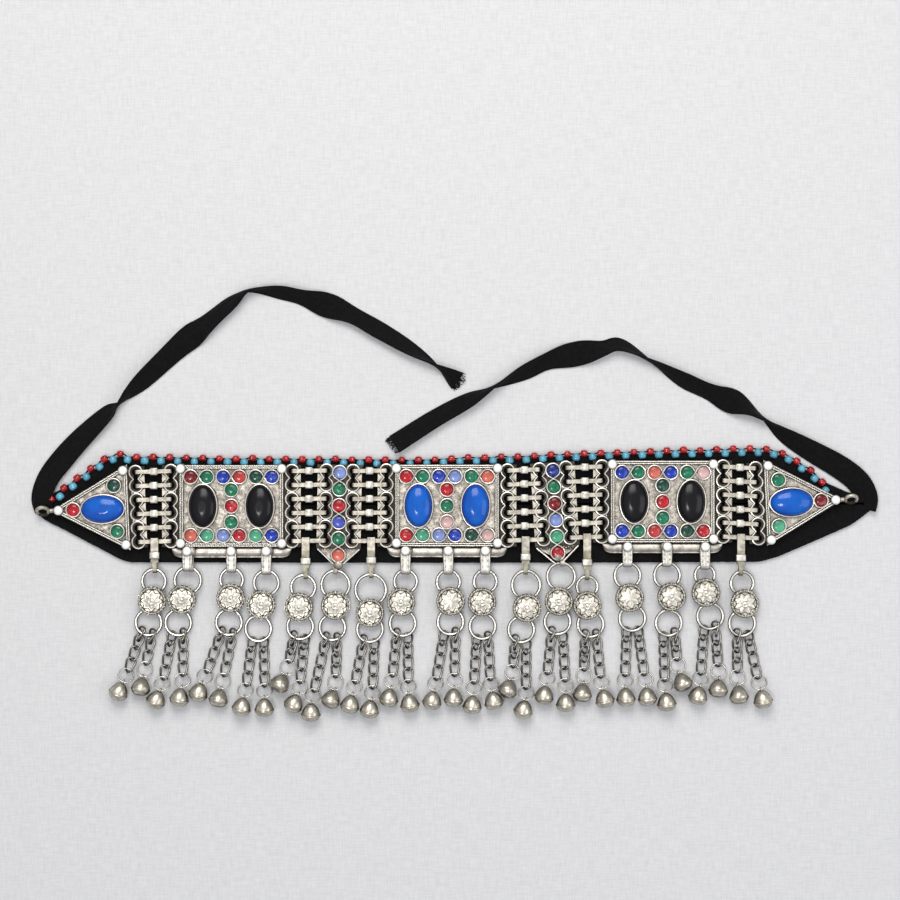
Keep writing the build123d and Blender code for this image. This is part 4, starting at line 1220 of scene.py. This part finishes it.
# Collars on the bars and a cuff round each strap
def collarsAndCuffs(look):
    bag = newBag()
    names = list(plates)
    for pair in zip(names, names[1:]):
        ends = [onPlate(name, [(side * columnOf[kindOf(name)], 0, 0)])[0]
                for name, side in zip(pair, (1, -1))]
        x, y, _ = (ends[0] + ends[1]) / 2
        for bar in look["bars"]:
            addCollar(bag, x, y + bar, look["collar"])
    for gap, number in enumerate(strapDrops):
        x, y = strapMiddle(gap + 1, look["strapBelow"]), eyeOfRing(number)[1] + look["cuffRise"]
        addCollar(bag, x, y, look["cuff"])
    makePiece("collarsAndCuffs", bag, metals["collarSilver"], 50.0)


collarsAndCuffs(gapLook)

workRandom = random.Random(11)
dresses = {
    "panel": (dressPanel, panelLook),
    "spacer": (dressSpacer, spacerLook),
    "end": (dressEnd, endLook),
}
for name in plates:
    bag = newBag()
    dress, look = dresses[kindOf(name)]
    dress(bag, name, look, workLook, workRandom)
    makePiece("filigree_" + name, bag, metals["filigreeSilver"], 50.0)

makePiece("edgeTabs", tabBag, metals["barSilver"], 50.0)


def finishStones():
    for family, store in stoneBags.items():
        piece = makePiece(family + "Stones", store["bag"], stoneGlass, 70.0)
        mesh = piece.data
        tint = mesh.color_attributes.new("tint", "FLOAT_COLOR", "POINT")
        tint.data.foreach_set("color", [v for c in store["tints"] for v in (*c, 1.0)])
        paintedFoilLight = mesh.attributes.new("paintedFoilLight", "FLOAT", "POINT")
        paintedFoilLight.data.foreach_set("value", store["paintedFoilLight"])


finishStones()
print("stage: stones and filigree")


# Rolled lip under each panel

lipLook = {
    "half": 24.4, "depth": 4.4, "rise": 3.9, "top": -16.2, "low": 3.3, "bulge": 1.25,
    "steps": 60, "rows": 12,
}


def buildLip(name, look):
    bag = newBag()
    half, top, foot = look["half"], look["top"], levels["plateBack"] + 0.1
    profile = [(v, look["low"] + look["bulge"] * math.sin(math.pi * min(v * 1.08, 1.0)) ** 0.7)
               for v in np.linspace(0, 1, look["rows"])]
    rings = []
    for u in np.linspace(-1, 1, look["steps"]):
        x = u * half
        end = max(abs(x) - (half - look["rise"]), 0) / look["rise"]
        depth = look["depth"] * math.sqrt(max(1 - end ** 2, 0.0025))
        ring = [(x, top - depth * v, z * (1 - 0.12 * end) if v > 0 else z) for v, z in profile]
        ring += [(x, ring[-1][1] + 0.25, foot), (x, top, foot)]
        rings.append(onPlate(name, ring))
    addSkin(bag, rings, flip=True)
    makePiece("lip_" + name, bag, metals["lipSilver"], 50.0)


for name in plates:
    if name.startswith("panel"):
        buildLip(name, lipLook)


# Stamped face of each disc: x, y, height, fall in degrees, turn in degrees

discPlaces = [
    (-119.3, -37.1, 2.84, 3.04, -48), (-107.4, -36.6, 2.85, 2.96, -160),
    (-87.8, -36.0, 2.88, 3.01, -24), (-75.6, -38.6, 2.83, 2.85, -128),
    (-60.5, -39.6, 2.81, 3.13, -112), (-45.9, -39.0, 2.80, 2.88, 0),
    (-32.1, -42.0, 2.70, 2.96, -24), (-19.6, -37.6, 2.83, 3.05, -112), (0.2, -37.3, 2.83, 3.12, 56),
    (12.8, -37.6, 2.86, 2.92, -80), (30.8, -40.0, 2.78, 2.80, 24), (43.6, -37.4, 2.75, 2.80, -56),
    (55.0, -39.0, 2.83, 3.30, 8), (71.9, -35.9, 2.79, 2.94, 56), (88.7, -35.5, 2.85, 2.75, 116),
    (102.4, -33.8, 2.91, 3.15, 28), (118.0, -38.2, 2.81, 3.12, 68),
]
discLook = {
    "radius": 5.72, "top": 0.9, "starOuter": 4.45, "starInner": 3.15, "points": 8, "bumps": 22,
    "rim": 4.55, "rings": 30, "sides": 160, "plain": (8, 13),         # discs without a boss
}


def discHeight(r, angle, look, plain):
    step = math.pi / look["points"]
    turn = (angle % (2 * step)) / step
    turn = turn if turn <= 1 else 2 - turn
    star = look["starOuter"] + (look["starInner"] - look["starOuter"]) * turn
    height, rim = 0.03, look["rim"]
    if r > rim:                                    # beaded rim
        t = (r - rim) / (look["radius"] - rim)
        bead = 0.5 + 0.5 * math.cos(look["bumps"] * angle)
        swell = math.sin(math.pi * min(t * 1.02, 1)) ** 0.8
        height = max(height, 0.12 + (0.36 + 0.52 * bead) * swell)
    if r < star:                                   # raised star with a lip
        inward = 1 - r / star
        height = 0.40 + 0.55 * (1 - (1 - inward) ** 2)
        if inward < 0.14:
            height += 0.16 * math.sin(math.pi * inward / 0.14)
    if not plain and r < 1.9:                      # boss with a ring round it
        for size, middle, width in ((0.20, 1.3, 0.26), (-0.16, 0.8, 0.22), (0.16, 0.0, 0.42)):
            height += size * math.exp(-((r - middle) / width) ** 2)
    return height


def buildDisc(number, place, look):
    bag = newBag()
    *middle, fall, turn = place
    rings, sides, radius = look["rings"], look["sides"], look["radius"]
    plain = number in look["plain"]
    pose = (Matrix.Translation(middle) @ Matrix.Rotation(math.radians(fall), 4, "X")
            @ Matrix.Rotation(math.radians(turn), 4, "Z"))
    corners = []
    for k in range(rings):
        r = radius * (1 - (k / rings) ** 1.15)
        for a in around(sides):
            worn = 0.03 * noise.noise(Vector((r * 1.3, a * 2, number)))
            corners.append((r * math.cos(a), r * math.sin(a),
                            look["top"] + discHeight(r, a, look, plain) + worn))
    corners.append((0, 0, look["top"] + discHeight(0, 0, look, plain)))
    corners += ringPoints(0, 0, radius, look["top"] - 0.5, sides)
    addLid(bag, [tuple(pose @ Vector(corner)) for corner in corners], rings, sides)
    makePiece(f"discFace_{number + 1:02d}", bag, metals["discSilver"], 60.0)


for number, place in enumerate(discPlaces):
    buildDisc(number, place, discLook)
print("stage: lips and disc faces")


# Drops, chains and bells: each node's solids are told apart, so that wires, rings and bells have
# their own finish

# Points and triangles of a node, corners at one place joined, with the number of each point's solid
def joinedSolids(name):
    mesh = nodes[name].data
    keys = np.round(cornersOf(name) * 1000).astype(np.int64)
    points, index = np.unique(keys, axis=0, return_inverse=True)
    triangles = np.zeros(len(mesh.loops), np.int64)
    mesh.loops.foreach_get("vertex_index", triangles)
    triangles = index.ravel()[triangles].reshape(-1, 3)
    label = np.arange(len(points))
    while True:                                    # the lowest number spreads over each solid
        least = label[triangles].min(1)
        spread = label.copy()
        for side in range(3):
            np.minimum.at(spread, triangles[:, side], least)
        spread = spread[spread]
        if (spread == label).all():
            return points / 1000.0, triangles, label
        label = spread


def cornerNormals(points, triangles):
    a, b, c = (points[triangles[:, i]] for i in range(3))
    flat = np.cross(b - a, c - a)
    normals = np.zeros_like(points)
    for side in range(3):
        np.add.at(normals, triangles[:, side], flat)
    return normals / np.maximum(np.linalg.norm(normals, axis=1, keepdims=True), 1e-12)


# The drop with its ring wires a little fuller than in the solid, its disc left as it is
def dressMedallion(number, place, look):
    name = f"medallion_{number:02d}"
    bag = newBag()
    points, triangles, _ = joinedSolids(name)
    real = [len(set(triangle)) == 3 for triangle in triangles.tolist()]
    triangles = triangles[real]
    far = np.hypot(points[:, 0] - place[0], points[:, 1] - place[1]) - look["clear"]
    share = np.clip(far / look["blend"], 0, 1)[:, None]
    addForm(bag, points + cornerNormals(points, triangles) * share * look["fuller"], triangles)
    piece = makePiece(f"drop_{number:02d}", bag, metals["wireSilver"], 60.0)
    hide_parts(name)


chainFinishes = ["chainSilver", "bellSilver", "wireSilver"]
solidLook = {"bellWidth": 5.0, "ringHole": 2.5}       # least width of a bell and hole of a ring, mm


def finishOfSolid(points, look):
    size = points.max(0) - points.min(0)
    if size.min() > look["bellWidth"]:
        return "bellSilver"
    radius = np.linalg.norm(points - points.mean(0), axis=1)
    return "wireSilver" if radius.min() > look["ringHole"] else "chainSilver"


def dressChains(name):
    mesh = nodes[name].data
    points, triangles, label = joinedSolids(name)
    mesh.materials.clear()
    for finish in chainFinishes:
        mesh.materials.append(metals[finish])
    chosen = np.zeros(len(triangles), np.int32)
    for solid in np.unique(label):
        finish = finishOfSolid(points[label == solid], solidLook)
        chosen[label[triangles[:, 0]] == solid] = chainFinishes.index(finish)
    mesh.polygons.foreach_set("material_index", chosen)
    shadeByAngle(nodes[name], 50.0)


dropLook = {"clear": 5.8, "blend": 0.4, "fuller": 0.2}
for number, place in enumerate(discPlaces):
    dressMedallion(number + 1, place, dropLook)
for name in sorted(nodes):
    if name.startswith("chains_and_bells"):
        dressChains(name)
print("stage: drops, chains and bells")
